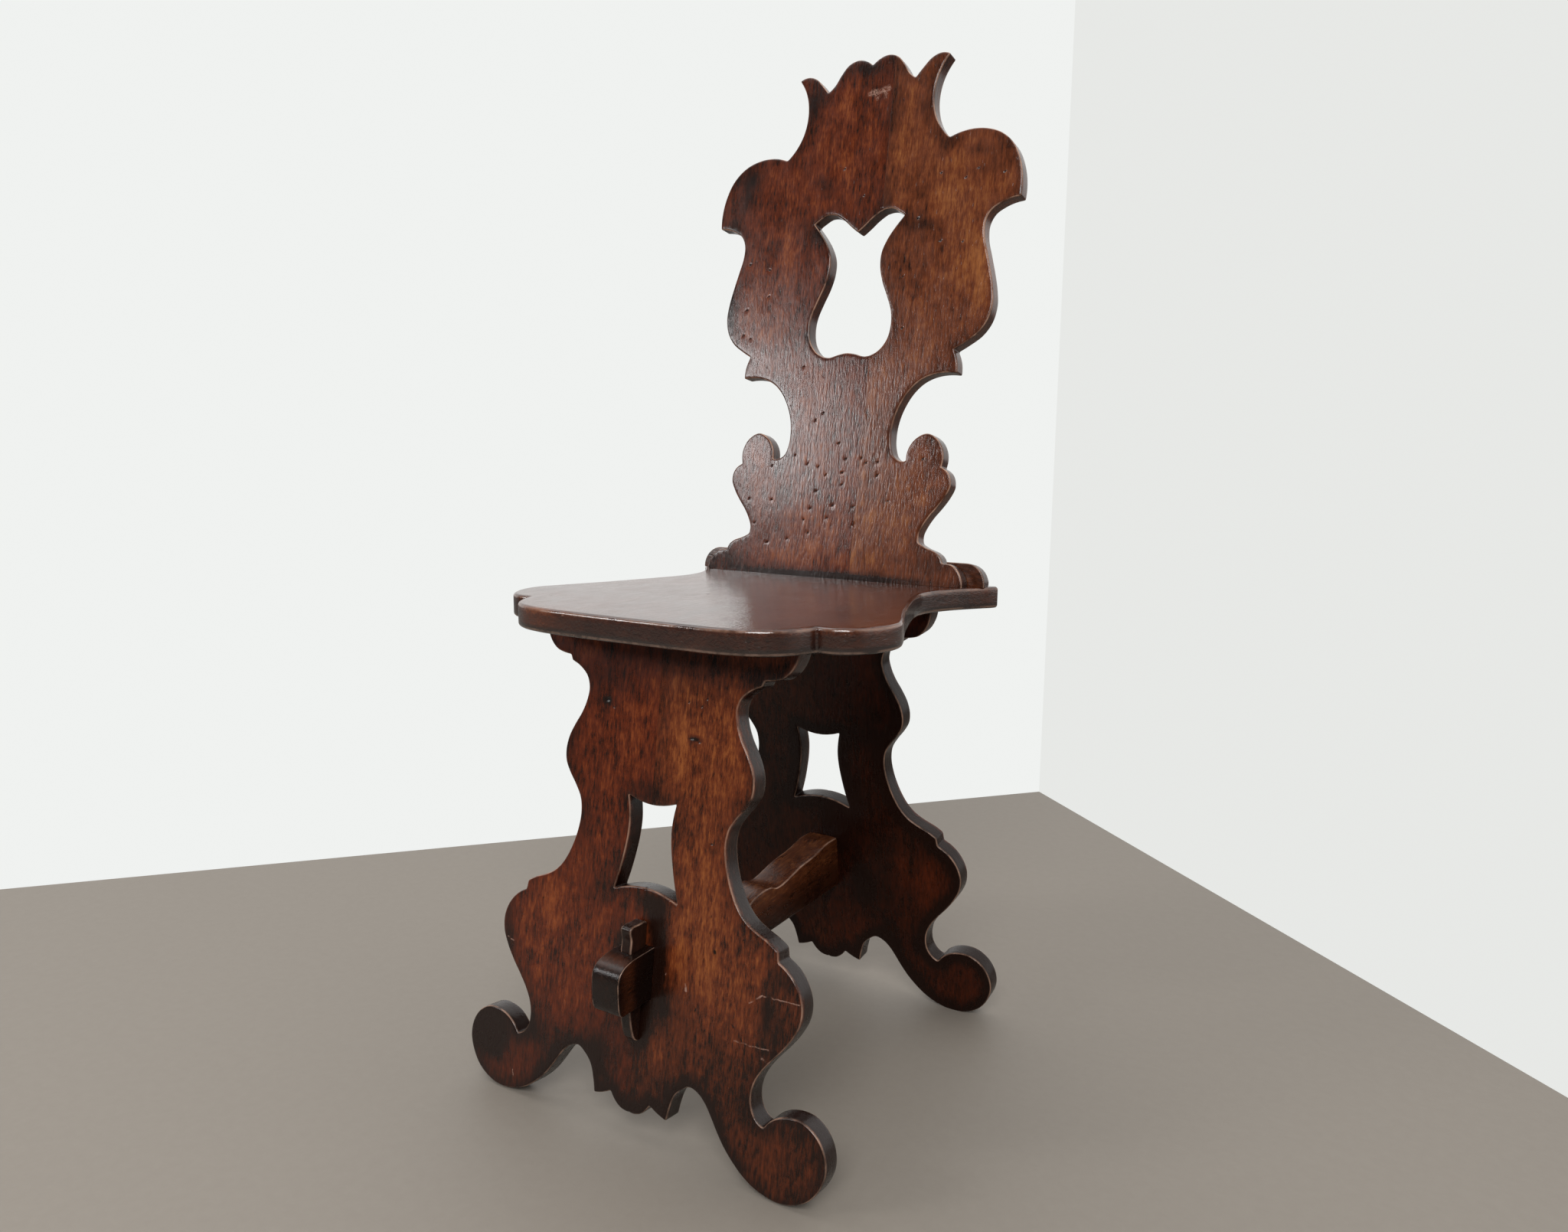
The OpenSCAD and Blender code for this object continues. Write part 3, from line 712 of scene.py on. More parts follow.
def trestle_loop(end, side):
    """The foot and the free outline, the level top, the joint with its window, and the mortise."""
    s = LEAN[end]
    tall = (SEAT_LOW - LIFT[end]) / math.cos(s)
    shape = stretched(smooth_line(TRESTLE_ROWS), TRESTLE_WIDE, tall, TRESTLE_ROWS[-1][1])
    window = smooth_line(WINDOW_ROWS)
    window = stretched(window, WINDOW_WIDE, WINDOW_TALL, window[:, 1].max()) + (0, WINDOW_UP)
    slant = -math.tan(s)
    top = shape[-1]
    half = TENON_WIDE / 2 + GLUE_GAP
    low = (RAIL_HIGH - TENON_DEEP - GLUE_GAP - LIFT[end]) / math.cos(s)
    high = (RAIL_HIGH + GLUE_GAP - LIFT[end]) / math.cos(s)
    loop = Loop((shape, True, 0),
                (line(top, (0, top[1])), False, slant),
                (line((0, top[1]), window[-1]), False, 0),
                (window[::-1], True, 0),
                (line(window[0], (0, high)), False, 0),
                (line((0, high), (half, high), (half, low), (0, low)), False, slant),
                (line((0, low), shape[0]), False, 0))
    return loop.flipped() if side == "left" else loop


print("a trestle plank's loop has", len(trestle_loop("front", "right").points), "points")

# %% [markdown]
# ## Back planks
# The joint in the back lies off the middle, through the right side of the tulip. Both planks come
# from one full outline, which is cut along the joint.

# %% Back loops
BACK_WIDE, BACK_TALL = 365, 565
TULIP_WIDE, TULIP_TALL, TULIP_UP = 110, 158, 240.5


def cut_at_joint(path):
    """Each place where a line crosses the joint: the number of the next point, and the crossing."""
    side = path[:, 0] > SEAM
    found = []
    for i in np.flatnonzero(side[1:] != side[:-1]) + 1:
        a, b = path[i - 1], path[i]
        found.append((i, a + (SEAM - a[0]) / (b[0] - a[0]) * (b - a)))
    return found


def back_loop(side):
    """One plank's share of the full outline and of the tulip, closed along the joint and the seat."""
    shape = smooth_line(BACK_ROWS)
    shape = stretched(shape, BACK_WIDE, BACK_TALL, shape[:, 1].max())
    (crown, top), = cut_at_joint(shape)
    tulip = smooth_line(TULIP_ROWS)
    tulip = stretched(tulip, TULIP_WIDE, TULIP_TALL, tulip[:, 1].max()) + (0, TULIP_UP)
    (lip, lip_point), (base, base_point) = cut_at_joint(tulip)
    foot, slant = shape[0, 0], -math.tan(TILT)
    if side == "right":
        return Loop((line((SEAM, 0), (foot, 0)), False, slant),
                    (np.vstack([shape[:crown], top]), True, 0),
                    (line(top, lip_point), False, 0),
                    (np.vstack([lip_point, tulip[lip:base], base_point]), True, 0),
                    (line(base_point, (SEAM, 0)), False, 0))
    around = np.vstack([base_point, tulip[base:], mirrored(tulip)[1:-1], tulip[:lip], lip_point])
    return Loop((line((SEAM, 0), base_point), False, 0),
                (around, True, 0),
                (line(lip_point, top), False, 0),
                (np.vstack([top, shape[crown:], mirrored(shape)[1:]]), True, 0),
                (line((-foot, 0), (SEAM, 0)), False, slant))


print("the back's loops have", *(len(back_loop(side).points) for side in ("left", "right")), "points")

# %% The back's tenons
BACK_FOOT = {"left": -85, "right": 85}
FOOT_WIDE, FOOT_THICK = 50, 12


def back_tenon(side):
    """The tenon under a plank of the back, which passes through the seat and ends flush below it."""
    left, right = BACK_FOOT[side] - FOOT_WIDE / 2, BACK_FOOT[side] + FOOT_WIDE / 2
    low, slant = -SEAT_THICK / math.cos(TILT), -math.tan(TILT)
    corners = [(left, low), (right, low), (right, 0), (left, 0), (left, low)]
    middle = -BACK_THICK / 2
    return board([Loop(*sides(corners, [slant] * 4))], middle + FOOT_THICK / 2, middle - FOOT_THICK / 2,
                 back_place, wave=0)


# %% [markdown]
# ## Stained wood
# Old furniture stain is not one colour. It soaks into soft streaks, leaves hard ones red, gathers
# round knots and is wiped off the middle of each field. So the finish adds up noises that differ in
# their stretch along the grain: long bands, streaks, short dashes of grain, hair-fine fibres, and
# blotches that ignore the grain. Their sum and the mark of stains, painted shade and painted sheen pick
# a tone between dark, middle and light. Deep stain veils the grain, so the noises count for less where
# the tone is dark. The edge distance darkens the rim, and bares the arris where hands and brooms rubbed
# it, in a pale line that is partly wear and partly painted highlight.

# %% A small helper for node graphs


class Graph:
    """Adds nodes to a tree and links them. What isn't a socket is set as a plain value."""

    def __init__(self, tree):
        self.tree = tree

    def node(self, kind, inputs=None, **settings):
        """A new node with its settings, and then its inputs, fed by name or number."""
        made = self.tree.nodes.new(kind)
        for name, value in settings.items():
            setattr(made, name, value)
        for name, value in (inputs or {}).items():
            self.feed(made.inputs[name], value)
        return made

    def feed(self, socket, value):
        if isinstance(value, bpy.types.NodeSocket):
            self.tree.links.new(value, socket)
        elif hasattr(socket.default_value, "__len__") and not hasattr(value, "__len__"):
            socket.default_value = [value] * len(socket.default_value)
        elif hasattr(socket.default_value, "__len__"):
            socket.default_value = list(value) + [1] * (len(socket.default_value) - len(value))
        else:
            socket.default_value = value

    def math(self, operation, a, b=0.0, c=0.0, clamp=False):
        made = self.node("ShaderNodeMath", {0: a, 1: b, 2: c}, operation=operation, use_clamp=clamp)
        return made.outputs[0]

    def scaled(self, vector, by):
        return self.node("ShaderNodeVectorMath", {0: vector, 1: by}, operation="MULTIPLY").outputs[0]

    def noise(self, place, scale, detail=3.0, roughness=0.55, distortion=0.0):
        """Noise with its own scale along each axis, per metre, spread to about -1 to 1."""
        made = self.node("ShaderNodeTexNoise", {
            "Vector": self.scaled(place, scale), "Scale": 1.0, "Detail": detail, "Roughness": roughness,
            "Distortion": distortion})
        return self.math("MULTIPLY_ADD", made.outputs[0], 4.0, -2.0)

    def between(self, value, low, high, way="SMOOTHSTEP"):
        """0 to 1 as value goes from low to high, and level beyond them."""
        return self.node("ShaderNodeMapRange", {"Value": value, "From Min": low, "From Max": high},
                         interpolation_type=way).outputs[0]

    def mix(self, share, a, b):
        """Colour a where share is 0, and colour b where it is 1."""
        made = self.node("ShaderNodeMix", {}, data_type="RGBA")
        self.feed(made.inputs[0], share)
        self.feed(made.inputs[6], a)
        self.feed(made.inputs[7], b)
        return made.outputs[2]

    def total(self, start, *parts):
        """start plus each part times its weight."""
        for part, weight in parts:
            start = self.math("MULTIPLY_ADD", part, weight, start)
        return start

    def product(self, *factors):
        first, *rest = factors
        for factor in rest:
            first = self.math("MULTIPLY", first, factor)
        return first


# %% New groups


def new_group(name, inputs, outputs):
    """An empty group with named sockets, its graph, and what comes in."""
    tree = bpy.data.node_groups.new(name, "ShaderNodeTree")
    for side, sockets in (("INPUT", inputs), ("OUTPUT", outputs)):
        for label, kind, start in sockets:
            socket = tree.interface.new_socket(label, in_out=side, socket_type="NodeSocket" + kind)
            if start is not None:
                socket.default_value = start
    g = Graph(tree)
    return g, g.node("NodeGroupInput").outputs


# %% The wood group
PITCH_BLACK = (0.006, 0.003, 0.002)


def wood_group():
    """Colour, roughness and height of the wood. Its tone is a half plus Tone, less the stain mark, which
    also holds painted shade and painted sheen, and less the darkness of the rim, plus the weighted
    noises times the veil. It runs from Dark at nought over Middle at a half to Light at one. The rubbed
    arris, partly wear and partly painted highlight, and the dents are laid over that colour."""
    g, given = new_group("old_wood", (
        ("Place", "Vector", None), ("Dark", "Color", None), ("Middle", "Color", None),
        ("Light", "Color", None), ("Worn_And_Highlight", "Color", None), ("Rim", "Float", 20.0), ("Pit", "Float", 0.0),
        ("Stain", "Float", 0.0),
        ("Tone", "Float", 0.0), ("Burn", "Float", 1.0), ("Wear_And_Highlight", "Float", 1.0), ("Dull", "Float", 0.28),
        ("Lively", "Float", 1.0)),
        (("Color", "Color", None), ("Roughness", "Float", None), ("Height", "Float", None)))
    place = given["Place"]
    band = g.noise(place, (24, 24, 1.8), 3, 0.5, 0.3)
    streak = g.noise(place, (95, 95, 5), 4, 0.6, 0.3)
    grain = g.noise(place, (420, 420, 80), 2, 0.5)
    fibre = g.noise(place, (1000, 1000, 150), 2, 0.6)
    fleck = g.noise(place, (270, 270, 75), 4, 0.7)
    blotch = g.noise(place, (15, 15, 9), 5, 0.6)
    mottle = g.noise(place, (75, 75, 40), 4, 0.6)
    figure = g.noise(place, (16, 16, 150), 2, 0.5)
    pore = g.between(g.noise(place, (800, 800, 90), 1, 0.5), 0.75, 1.2)
    shade = g.between(g.math("MULTIPLY_ADD", blotch, 2.0, given["Rim"]), 20.0, -2.0)
    soak = g.between(given["Rim"], 0.5, -2.0)
    rim_dark = g.product(g.total(0.0, (shade, 0.24), (soak, 0.06)), given["Burn"])
    # The stain mark darkens the tone, with stains, painted shade and painted sheen in it.
    deep = g.math("MULTIPLY_ADD", given["Stain"], -1.7, g.math("ADD", given["Tone"], 0.5))
    deep = g.math("SUBTRACT", deep, rim_dark)
    marks = g.total(0.0, (band, 0.10), (streak, 0.09), (grain, 0.16), (fibre, 0.17), (fleck, 0.22),
                    (blotch, 0.14), (mottle, 0.12), (figure, 0.05), (pore, -0.25))
    veil = g.math("MULTIPLY_ADD", g.between(deep, 0.0, 0.5, "LINEAR"), 0.8, 0.2)
    tone = g.math("MULTIPLY_ADD", marks, g.product(veil, given["Lively"]), deep, clamp=True)
    low = g.mix(g.between(tone, 0.0, 0.5, "LINEAR"), given["Dark"], given["Middle"])
    color = g.mix(g.between(tone, 0.5, 1.0, "LINEAR"), low, given["Light"])
    # A pale line along the arris: partly rubbed wear, and partly painted highlight where the round edge would
    # catch light.
    off = g.math("ABSOLUTE", g.math("SUBTRACT", given["Rim"], 0.45))
    patchy = g.between(g.math("MULTIPLY_ADD", streak, 0.6, mottle), -1.0, 1.0)
    rubbed_and_highlight = g.product(g.between(off, 0.7, 0.1), patchy, given["Wear_And_Highlight"])
    color = g.mix(g.math("MINIMUM", rubbed_and_highlight, 1.0), color, given["Worn_And_Highlight"])
    color = g.mix(g.math("MULTIPLY", given["Pit"], 2.2, clamp=True), color, PITCH_BLACK)
    rough = g.total(given["Dull"], (mottle, 0.04), (rubbed_and_highlight, -0.10), (blotch, 0.03))
    height = g.total(0.0, (pore, -0.6), (fibre, 0.2), (grain, 0.3), (streak, 0.1))
    g.node("NodeGroupOutput", {"Color": color, "Roughness": rough, "Height": height})
    return g.tree


WOOD = wood_group()
print("the wood has", len(WOOD.nodes), "nodes")

# %% [markdown]
# ## Scratches
# A scratch is a line from one place to another. Its mask is the distance from that line, shaken by a
# little noise so that no scratch is ruled. The same group makes a scuff, when the line is short and
# wide and its mask is broken up by the noise.

# %% The scratch group


def scratch_group():
    """The mask of a line: one close to it and nought a width away, times a noise that breaks it up."""
    g, given = new_group("scratch", (
        ("Place", "Vector", None), ("Start", "Vector", None), ("End", "Vector", None),
        ("Width", "Float", 0.001), ("Broken", "Float", 0.3)), (("Mask", "Float", None),))

    def vector(operation, a, b=(0, 0, 0), output=0):
        return g.node("ShaderNodeVectorMath", {0: a, 1: b}, operation=operation).outputs[output]

    shaken = g.node("ShaderNodeTexNoise", {
        "Vector": g.scaled(given["Place"], (90, 90, 90)), "Scale": 1.0, "Detail": 3.0})
    shake = g.scaled(vector("SUBTRACT", shaken.outputs["Color"], (0.5, 0.5, 0.5)), (0.006, 0.006, 0.006))
    off = vector("SUBTRACT", vector("ADD", given["Place"], shake), given["Start"])
    way = vector("SUBTRACT", given["End"], given["Start"])
    along, long = vector("DOT_PRODUCT", off, way, 1), vector("DOT_PRODUCT", way, way, 1)
    share = g.math("DIVIDE", along, long, clamp=True)
    reach = g.node("ShaderNodeVectorMath", {0: way, "Scale": share}, operation="SCALE").outputs[0]
    gap = vector("LENGTH", vector("SUBTRACT", off, reach), output=1)
    near = g.between(g.math("DIVIDE", gap, given["Width"]), 1.0, 0.3)
    fleck = g.noise(given["Place"], (500, 500, 500), 3, 0.6)
    whole = g.between(g.math("ADD", fleck, g.math("MULTIPLY", given["Broken"], -1.0)), -1.2, 0.3)
    g.node("NodeGroupOutput", {"Mask": g.math("MULTIPLY", near, whole)})
    return g.tree


SCRATCH = scratch_group()
print("the scratch has", len(SCRATCH.nodes), "nodes")

# %% [markdown]
# ## One finish for each plank
# The joiner glued each board up from two planks, and no two planks take the stain alike. So the group
# is placed in a material of its own for each plank, with its own three tones, its own piece of the
# noise and its own gloss. Only here does it meet the shader, whose fixed values are set directly.

# %% Tones
BURNT = (0.011, 0.0032, 0.0015)
TONES = {
    "dark_board": (BURNT, (0.110, 0.0175, 0.004), (0.235, 0.054, 0.012)),
    "light_board": (BURNT, (0.128, 0.026, 0.007), (0.27, 0.078, 0.019)),
    "back_dark": (BURNT, (0.108, 0.0195, 0.005), (0.235, 0.062, 0.015)),
    "back_light": (BURNT, (0.130, 0.032, 0.010), (0.275, 0.094, 0.025)),
    "seat_wood": ((0.012, 0.004, 0.003), (0.100, 0.026, 0.010), (0.21, 0.068, 0.024)),
    "rail_wood": ((0.006, 0.002, 0.001), (0.080, 0.021, 0.007), (0.24, 0.085, 0.026)),
    "key_wood": ((0.008, 0.004, 0.003), (0.060, 0.019, 0.009), (0.19, 0.080, 0.042)),
}
# The pale colour of the arris line is partly bared wood and partly painted highlight.
WORN_AND_HIGHLIGHT, CHAFED = (0.45, 0.27, 0.19), (0.36, 0.21, 0.16)
print(len(TONES), "cuts of wood, with three tones each")

# %% Finishes
BUMP, BUMP_HIGH = 0.5, 0.0003


def new_finish(name, empty=True):
    """A material and its graph, which is either empty or has the plain shader that Blender puts there."""
    material = bpy.data.materials.new(name)
    material.use_nodes = True
    if empty:
        material.node_tree.nodes.clear()
    return material, Graph(material.node_tree)


def wood(name, tones, turn, shift, tone=0.0, burn=1.0, wear_and_highlight=0.7, dull=0.28, lively=1.0,
         gloss=0.38, scratches=()):
    """A finish on object places, turned so that its third axis runs along the grain, and shifted so
    that no two planks are cut from the same place. A scratch is a start, an end, a width, how broken
    it is and how strong it is, in millimetres of the frame."""
    material, g = new_finish(name)
    here = g.node("ShaderNodeTexCoord").outputs["Object"]
    place = g.node("ShaderNodeMapping", {"Vector": here, "Rotation": turn, "Location": shift}).outputs[0]
    dark, middle, light = TONES[tones]
    skin = g.node("ShaderNodeGroup", {
        "Place": place, "Dark": dark, "Middle": middle, "Light": light, "Worn_And_Highlight": WORN_AND_HIGHLIGHT, "Tone": tone,
        "Burn": burn, "Wear_And_Highlight": wear_and_highlight, "Dull": dull, "Lively": lively}, node_tree=WOOD)
    for label in ("rim", "pit", "stain"):
        g.feed(skin.inputs[label.title()], g.node("ShaderNodeAttribute", attribute_name=label).outputs["Fac"])
    color = skin.outputs["Color"]
    for start, end, width, broken, strong in scratches:
        mark = g.node("ShaderNodeGroup", {
            "Place": here, "Start": [v * MM for v in start], "End": [v * MM for v in end],
            "Width": width * MM, "Broken": broken}, node_tree=SCRATCH)
        color = g.mix(g.math("MULTIPLY", mark.outputs[0], strong), color, CHAFED)
    bump = g.node("ShaderNodeBump", {
        "Height": skin.outputs["Height"], "Strength": BUMP, "Distance": BUMP_HIGH})
    shader = g.node("ShaderNodeBsdfPrincipled", {
        "Base Color": color, "Roughness": skin.outputs["Roughness"], "Normal": bump.outputs[0],
        "Specular IOR Level": gloss})
    g.node("ShaderNodeOutputMaterial", {"Surface": shader.outputs[0]})
    return material


ALONG_DEPTH = (math.radians(90), 0, 0)
ALONG_WIDTH = (0, math.radians(90), 0)

# %% [markdown]
# ## Where the boards are stained, shaded and dented
# A row is an oval on a board: across and up to its middle, its two half sizes, for a dent its turn,
# and its amount. They follow what a long look at the real boards shows: burnt shoulders, a black halo
# round the tenon, and amber in the middle of each field. Some rows are painted shade instead: a band
# along the top is painted shadow of the seat's overhang, and the darker lower part and feet are partly
# stain and partly painted shade. The rear board has the same rows the other way round, and each
# board's inner face has stains thrown at random over one broad painted shade, for the shade under the
# seat.

# %% Stains, painted shade and dents of the trestles
# Stains and painted shade. The wide row along the top, at up 450, is painted shadow of the seat's overhang;
# the broad row low down, at up 30, and the rows on the feet darken the lower part, partly as stain and partly
# as painted shade.
TRESTLE_STAINS_AND_SHADE = unturned([
    (20, 176, 12, 36, 0.44), (-22, 168, 10, 34, 0.34), (4, 100, 18, 30, 0.26), (8, 216, 18, 10, 0.18),
    (-41, 70, 20, 26, 0.14), (134, 150, 11, 40, 0.30), (146, 180, 16, 14, 0.14), (-172, 46, 26, 30, 0.34),
    (-119, 65, 24, 20, 0.10), (172, 40, 32, 34, 0.04), (30, 130, 10, 24, 0.14), (-96, 345, 26, 40, 0.12),
    (-60, 405, 50, 20, 0.15), (90, 425, 60, 16, 0.14), (-3, 312, 26, 14, 0.16), (80, 343, 9, 6, 0.16),
    (84, 320, 11, 14, 0.14), (41, 363, 10, 3, 0.22), (-58, 384, 12, 9, 0.16), (0, 450, 150, 10, 0.20),
    (-106, 184, 13, 30, -0.22), (-117, 127, 9, 28, -0.12), (-84, 106, 12, 30, -0.10),
    (92, 148, 12, 30, -0.16), (74, 170, 10, 34, -0.12), (26, 88, 9, 18, -0.12), (14, 73, 14, 12, -0.08),
    (47, 245, 8, 44, -0.05), (28, 346, 14, 26, -0.14), (96, 335, 8, 20, -0.12), (-52, 350, 12, 26, -0.05),
    (0, 30, 330, 105, 0.22), (5, 434, 70, 18, 0.16), (5, 370, 18, 90, 0.10), (-74, 270, 14, 30, 0.14),
    (-54, 212, 32, 24, 0.15), (6, 128, 16, 30, 0.18), (20, 130, 50, 34, 0.12), (-156, 152, 12, 34, 0.18),
    (148, 150, 10, 32, 0.14), (78, 390, 12, 50, -0.10), (8, 206, 26, 14, 0.18), (9, 194, 10, 16, 0.16),
    (-58, 384, 6, 4, 0.26), (41, 363, 9, 2, 0.22)])
# Painted shade: one broad dark oval over each trestle's inner face and under the seat, for the shade they
# stand in.
INNER_PAINTED_SHADE = unturned([(0, 180, 900, 420, 0.27)])
TRESTLE_DENTS = [
    (-57, 385, 3.0, 2.0, 0.3, 0.7), (-50, 379, 1.4, 1.0, 0, 0.5), (46, 392, 1.6, 0.8, 0.9, 0.5),
    (51, 399, 1.6, 0.8, 0.9, 0.5), (32, 394, 1.5, 0.8, 0.9, 0.5), (38, 363, 3.2, 0.9, 0.1, 0.5),
    (46, 361, 2.2, 0.8, 0.2, 0.4), (67, 277, 2.6, 1.0, 0, 0.5), (78, 187, 2.6, 1.8, 1.9, 0.7),
    (72, 202, 1.5, 0.8, 1.2, 0.4), (72, 216, 1.5, 0.8, 1.2, 0.4), (106, 204, 1.6, 0.8, 0.9, 0.4),
    (-88, 183, 1.6, 0.9, 1.1, 0.5), (-118, 190, 1.5, 0.9, 1.1, 0.5), (-68, 166, 1.8, 0.9, 1.1, 0.5),
    (-56, 203, 1.5, 0.8, 1, 0.4), (63, 133, 2.6, 0.9, 1.2, 0.6), (102, 130, 2.2, 0.9, -0.7, 0.6),
    (111, 121, 2.0, 0.9, -0.9, 0.6), (74, 118, 2.4, 0.9, 1.0, 0.5), (-2, 333, 1.8, 0.6, 1.4, 0.4),
    (-36, 60, 1.4, 0.8, 0.8, 0.4), (58, 56, 1.3, 0.8, 0.8, 0.4), (24, 276, 1.3, 0.8, 1, 0.4)]
print("a trestle has", len(TRESTLE_STAINS_AND_SHADE), "stains and", len(TRESTLE_DENTS), "dents")

# %% Scratches of the trestles


def drawn_on(stand, out, marks):
    """Scratches drawn on a board's show face, with their ends as places in the frame."""
    return [(*stand(np.array([(*start, out), (*end, out)], float)).tolist(), *rest)
            for start, end, *rest in marks]


TRESTLE_SCRATCHES = {
    "left": [((-141, 18), (-140, 8), 0.9, 0.0, 0.9), ((-159, 144), (-152, 142), 0.9, 0.1, 0.8)],
    "right": [((117, 154), (129, 163), 0.9, 0.0, 0.8), ((129, 163), (164, 165), 0.9, 0.1, 0.7),
              ((105, 118), (138, 120), 0.8, 0.2, 0.6), ((51, 152), (52, 147), 1.6, -1.0, 0.95),
              ((132, 112), (142, 108), 1.8, 0.7, 0.8), ((29, 156), (29, 155), 1.1, -1.0, 0.95)]}

# %% Trestles
# For each end: where its wood is cut from, the seed of its inner face's stains, how lively and how
# glossy it is
TRESTLE_WOOD = {"front": (0.0, 11, 1.6, 0.38), "rear": (3.0, 14, 1.1, 0.2)}
PLANK_CUT = {"left": 1.3, "right": 2.1}
for end, (far, seed, lively, gloss) in TRESTLE_WOOD.items():
    front = end == "front"
    # The inner face: stains thrown at random over the broad painted shade.
    inner = strewn(seed, 40, (-150, 0), (150, 440), 36, 0.08) + INNER_PAINTED_SHADE
    outer = TRESTLE_STAINS_AND_SHADE if front else [(-x, *rest) for x, *rest in TRESTLE_STAINS_AND_SHADE]
    for side, along in PLANK_CUT.items():
        name = f"{end}_trestle_{side}_plank"
        marks = drawn_on(trestle_place(end), TRESTLE_THICK / 2, TRESTLE_SCRATCHES[side]) if front else ()
        finish = wood(name + "_wood", SLOTS[name], (-OUT[end] * LEAN[end], 0, 0), (far + along, 0.4, far),
                      lively=lively, gloss=gloss, scratches=marks)
        piece(name + "_worn", "chair", name, finish, board(
            [trestle_loop(end, side)], TRESTLE_THICK / 2, -TRESTLE_THICK / 2, trestle_place(end),
            dents=(TRESTLE_DENTS if front else (), ()), stains_and_painted_light=(outer, inner)))

# %% [markdown]
# ## The back's own marks
# Small dents lie in a swarm low on the back. Only their places are written down: the size, turn and
# depth of each vary a little round the same four values. They are deep for their width, because a
# shallow hollow in waxed wood mirrors the lamp as the board does, and doesn't read as a dark tick.

# %% Stains, painted sheen and dents of the back
# Stains and painted sheen. The lighter rows low in the middle, at up 60, and on the left field, at up 305,
# are painted sheen on top of the lamp's sheen there; the other rows are stains.
BACK_STAINS_AND_SHEEN = unturned([
    (-148, 432, 18, 34, 0.24), (-163, 400, 16, 30, 0.14), (-50, 436, 13, 12, 0.18),
    (-30, 474, 12, 10, 0.08), (-66, 526, 16, 24, 0.20), (-5, 553, 34, 10, 0.16), (18, 541, 10, 14, 0.10),
    (28, 487, 6, 50, 0.14), (28, 412, 10, 24, 0.14), (78, 376, 24, 8, 0.20), (134, 291, 8, 14, 0.14),
    (-46, 378, 26, 16, 0.18), (95, 459, 12, 9, 0.12), (-157, 290, 12, 44, 0.14), (-42, 262, 14, 18, 0.16),
    (-58, 340, 8, 34, 0.10), (0, 2, 170, 7, 0.40), (-124, 14, 28, 14, 0.18), (118, 18, 30, 14, 0.16),
    (-60, 88, 12, 14, 0.12), (80, 24, 10, 14, 0.12), (16, 45, 8, 14, 0.10), (140, 445, 24, 14, 0.06),
    (-24, 520, 12, 28, -0.12), (50, 502, 10, 32, -0.16), (2, 490, 9, 24, -0.08), (42, 460, 9, 34, -0.12),
    (94, 404, 16, 26, -0.16), (166, 413, 9, 32, -0.10), (146, 340, 14, 36, -0.20),
    (150, 300, 12, 20, -0.14), (-22, 455, 13, 24, -0.10), (-86, 360, 9, 36, -0.10),
    (124, 326, 13, 30, -0.12), (70, 300, 8, 34, -0.10), (112, 440, 18, 20, -0.10),
    (-64, 22, 22, 10, -0.20), (-22, 32, 16, 14, -0.24), (48, 66, 9, 16, -0.20), (52, 22, 9, 18, -0.20),
    (105, 90, 10, 12, -0.14), (20, 20, 16, 10, -0.12), (50, 504, 34, 30, 0.12), (-139, 450, 18, 14, 0.14),
    (130, 450, 36, 10, 0.08), (150, 428, 34, 14, 0.10), (-39, 426, 14, 12, 0.12),
    (50, 404, 14, 12, -0.12), (-120, 305, 26, 50, -0.09), (0, 60, 110, 40, -0.05)])
LOW_DENTS = [
    (-36, 124), (-22, 121), (-31, 172), (-22, 180), (11, 130), (30, 131), (36, 126), (50, 127), (8, 115),
    (9, 102), (1, 147), (-22, 94), (-12, 112), (51, 113), (-82, 121), (-109, 83), (-79, 83), (-28, 75),
    (0, 79), (-35, 62), (-6, 65), (25, 78), (66, 86), (28, 59), (-28, 48), (-54, 40), (-80, 35),
    (-99, 56), (102, 131), (-53, 133)]
HIGH_DENTS = [
    (4, 415), (-23, 447), (121, 421), (163, 422), (93, 429), (134, 429), (-136, 351), (-109, 343),
    (-107, 313), (-135, 299), (-137, 270), (-127, 266), (64, 269), (99, 358), (124, 355), (60, 324),
    (-52, 232)]
DENT_LONG, DENT_WIDE, DENT_TURN, DENT_DEEP = 1.8, 0.9, 0.55, 0.9


def dents_at(places, seed):
    """Dents at the given places, each a little different."""
    rng = np.random.default_rng(seed)
    return [(x, y, DENT_LONG * rng.uniform(0.7, 1.15), DENT_WIDE * rng.uniform(0.8, 1.2),
             DENT_TURN + rng.uniform(-0.3, 0.4), DENT_DEEP * rng.uniform(0.6, 1.1)) for x, y in places]


BACK_DENTS = dents_at(LOW_DENTS + HIGH_DENTS, 4) + [(71, 384, 2.4, 2.0, 0, 0.6)]
print("the back has", len(BACK_STAINS_AND_SHEEN), "stains and", len(BACK_DENTS), "dents")

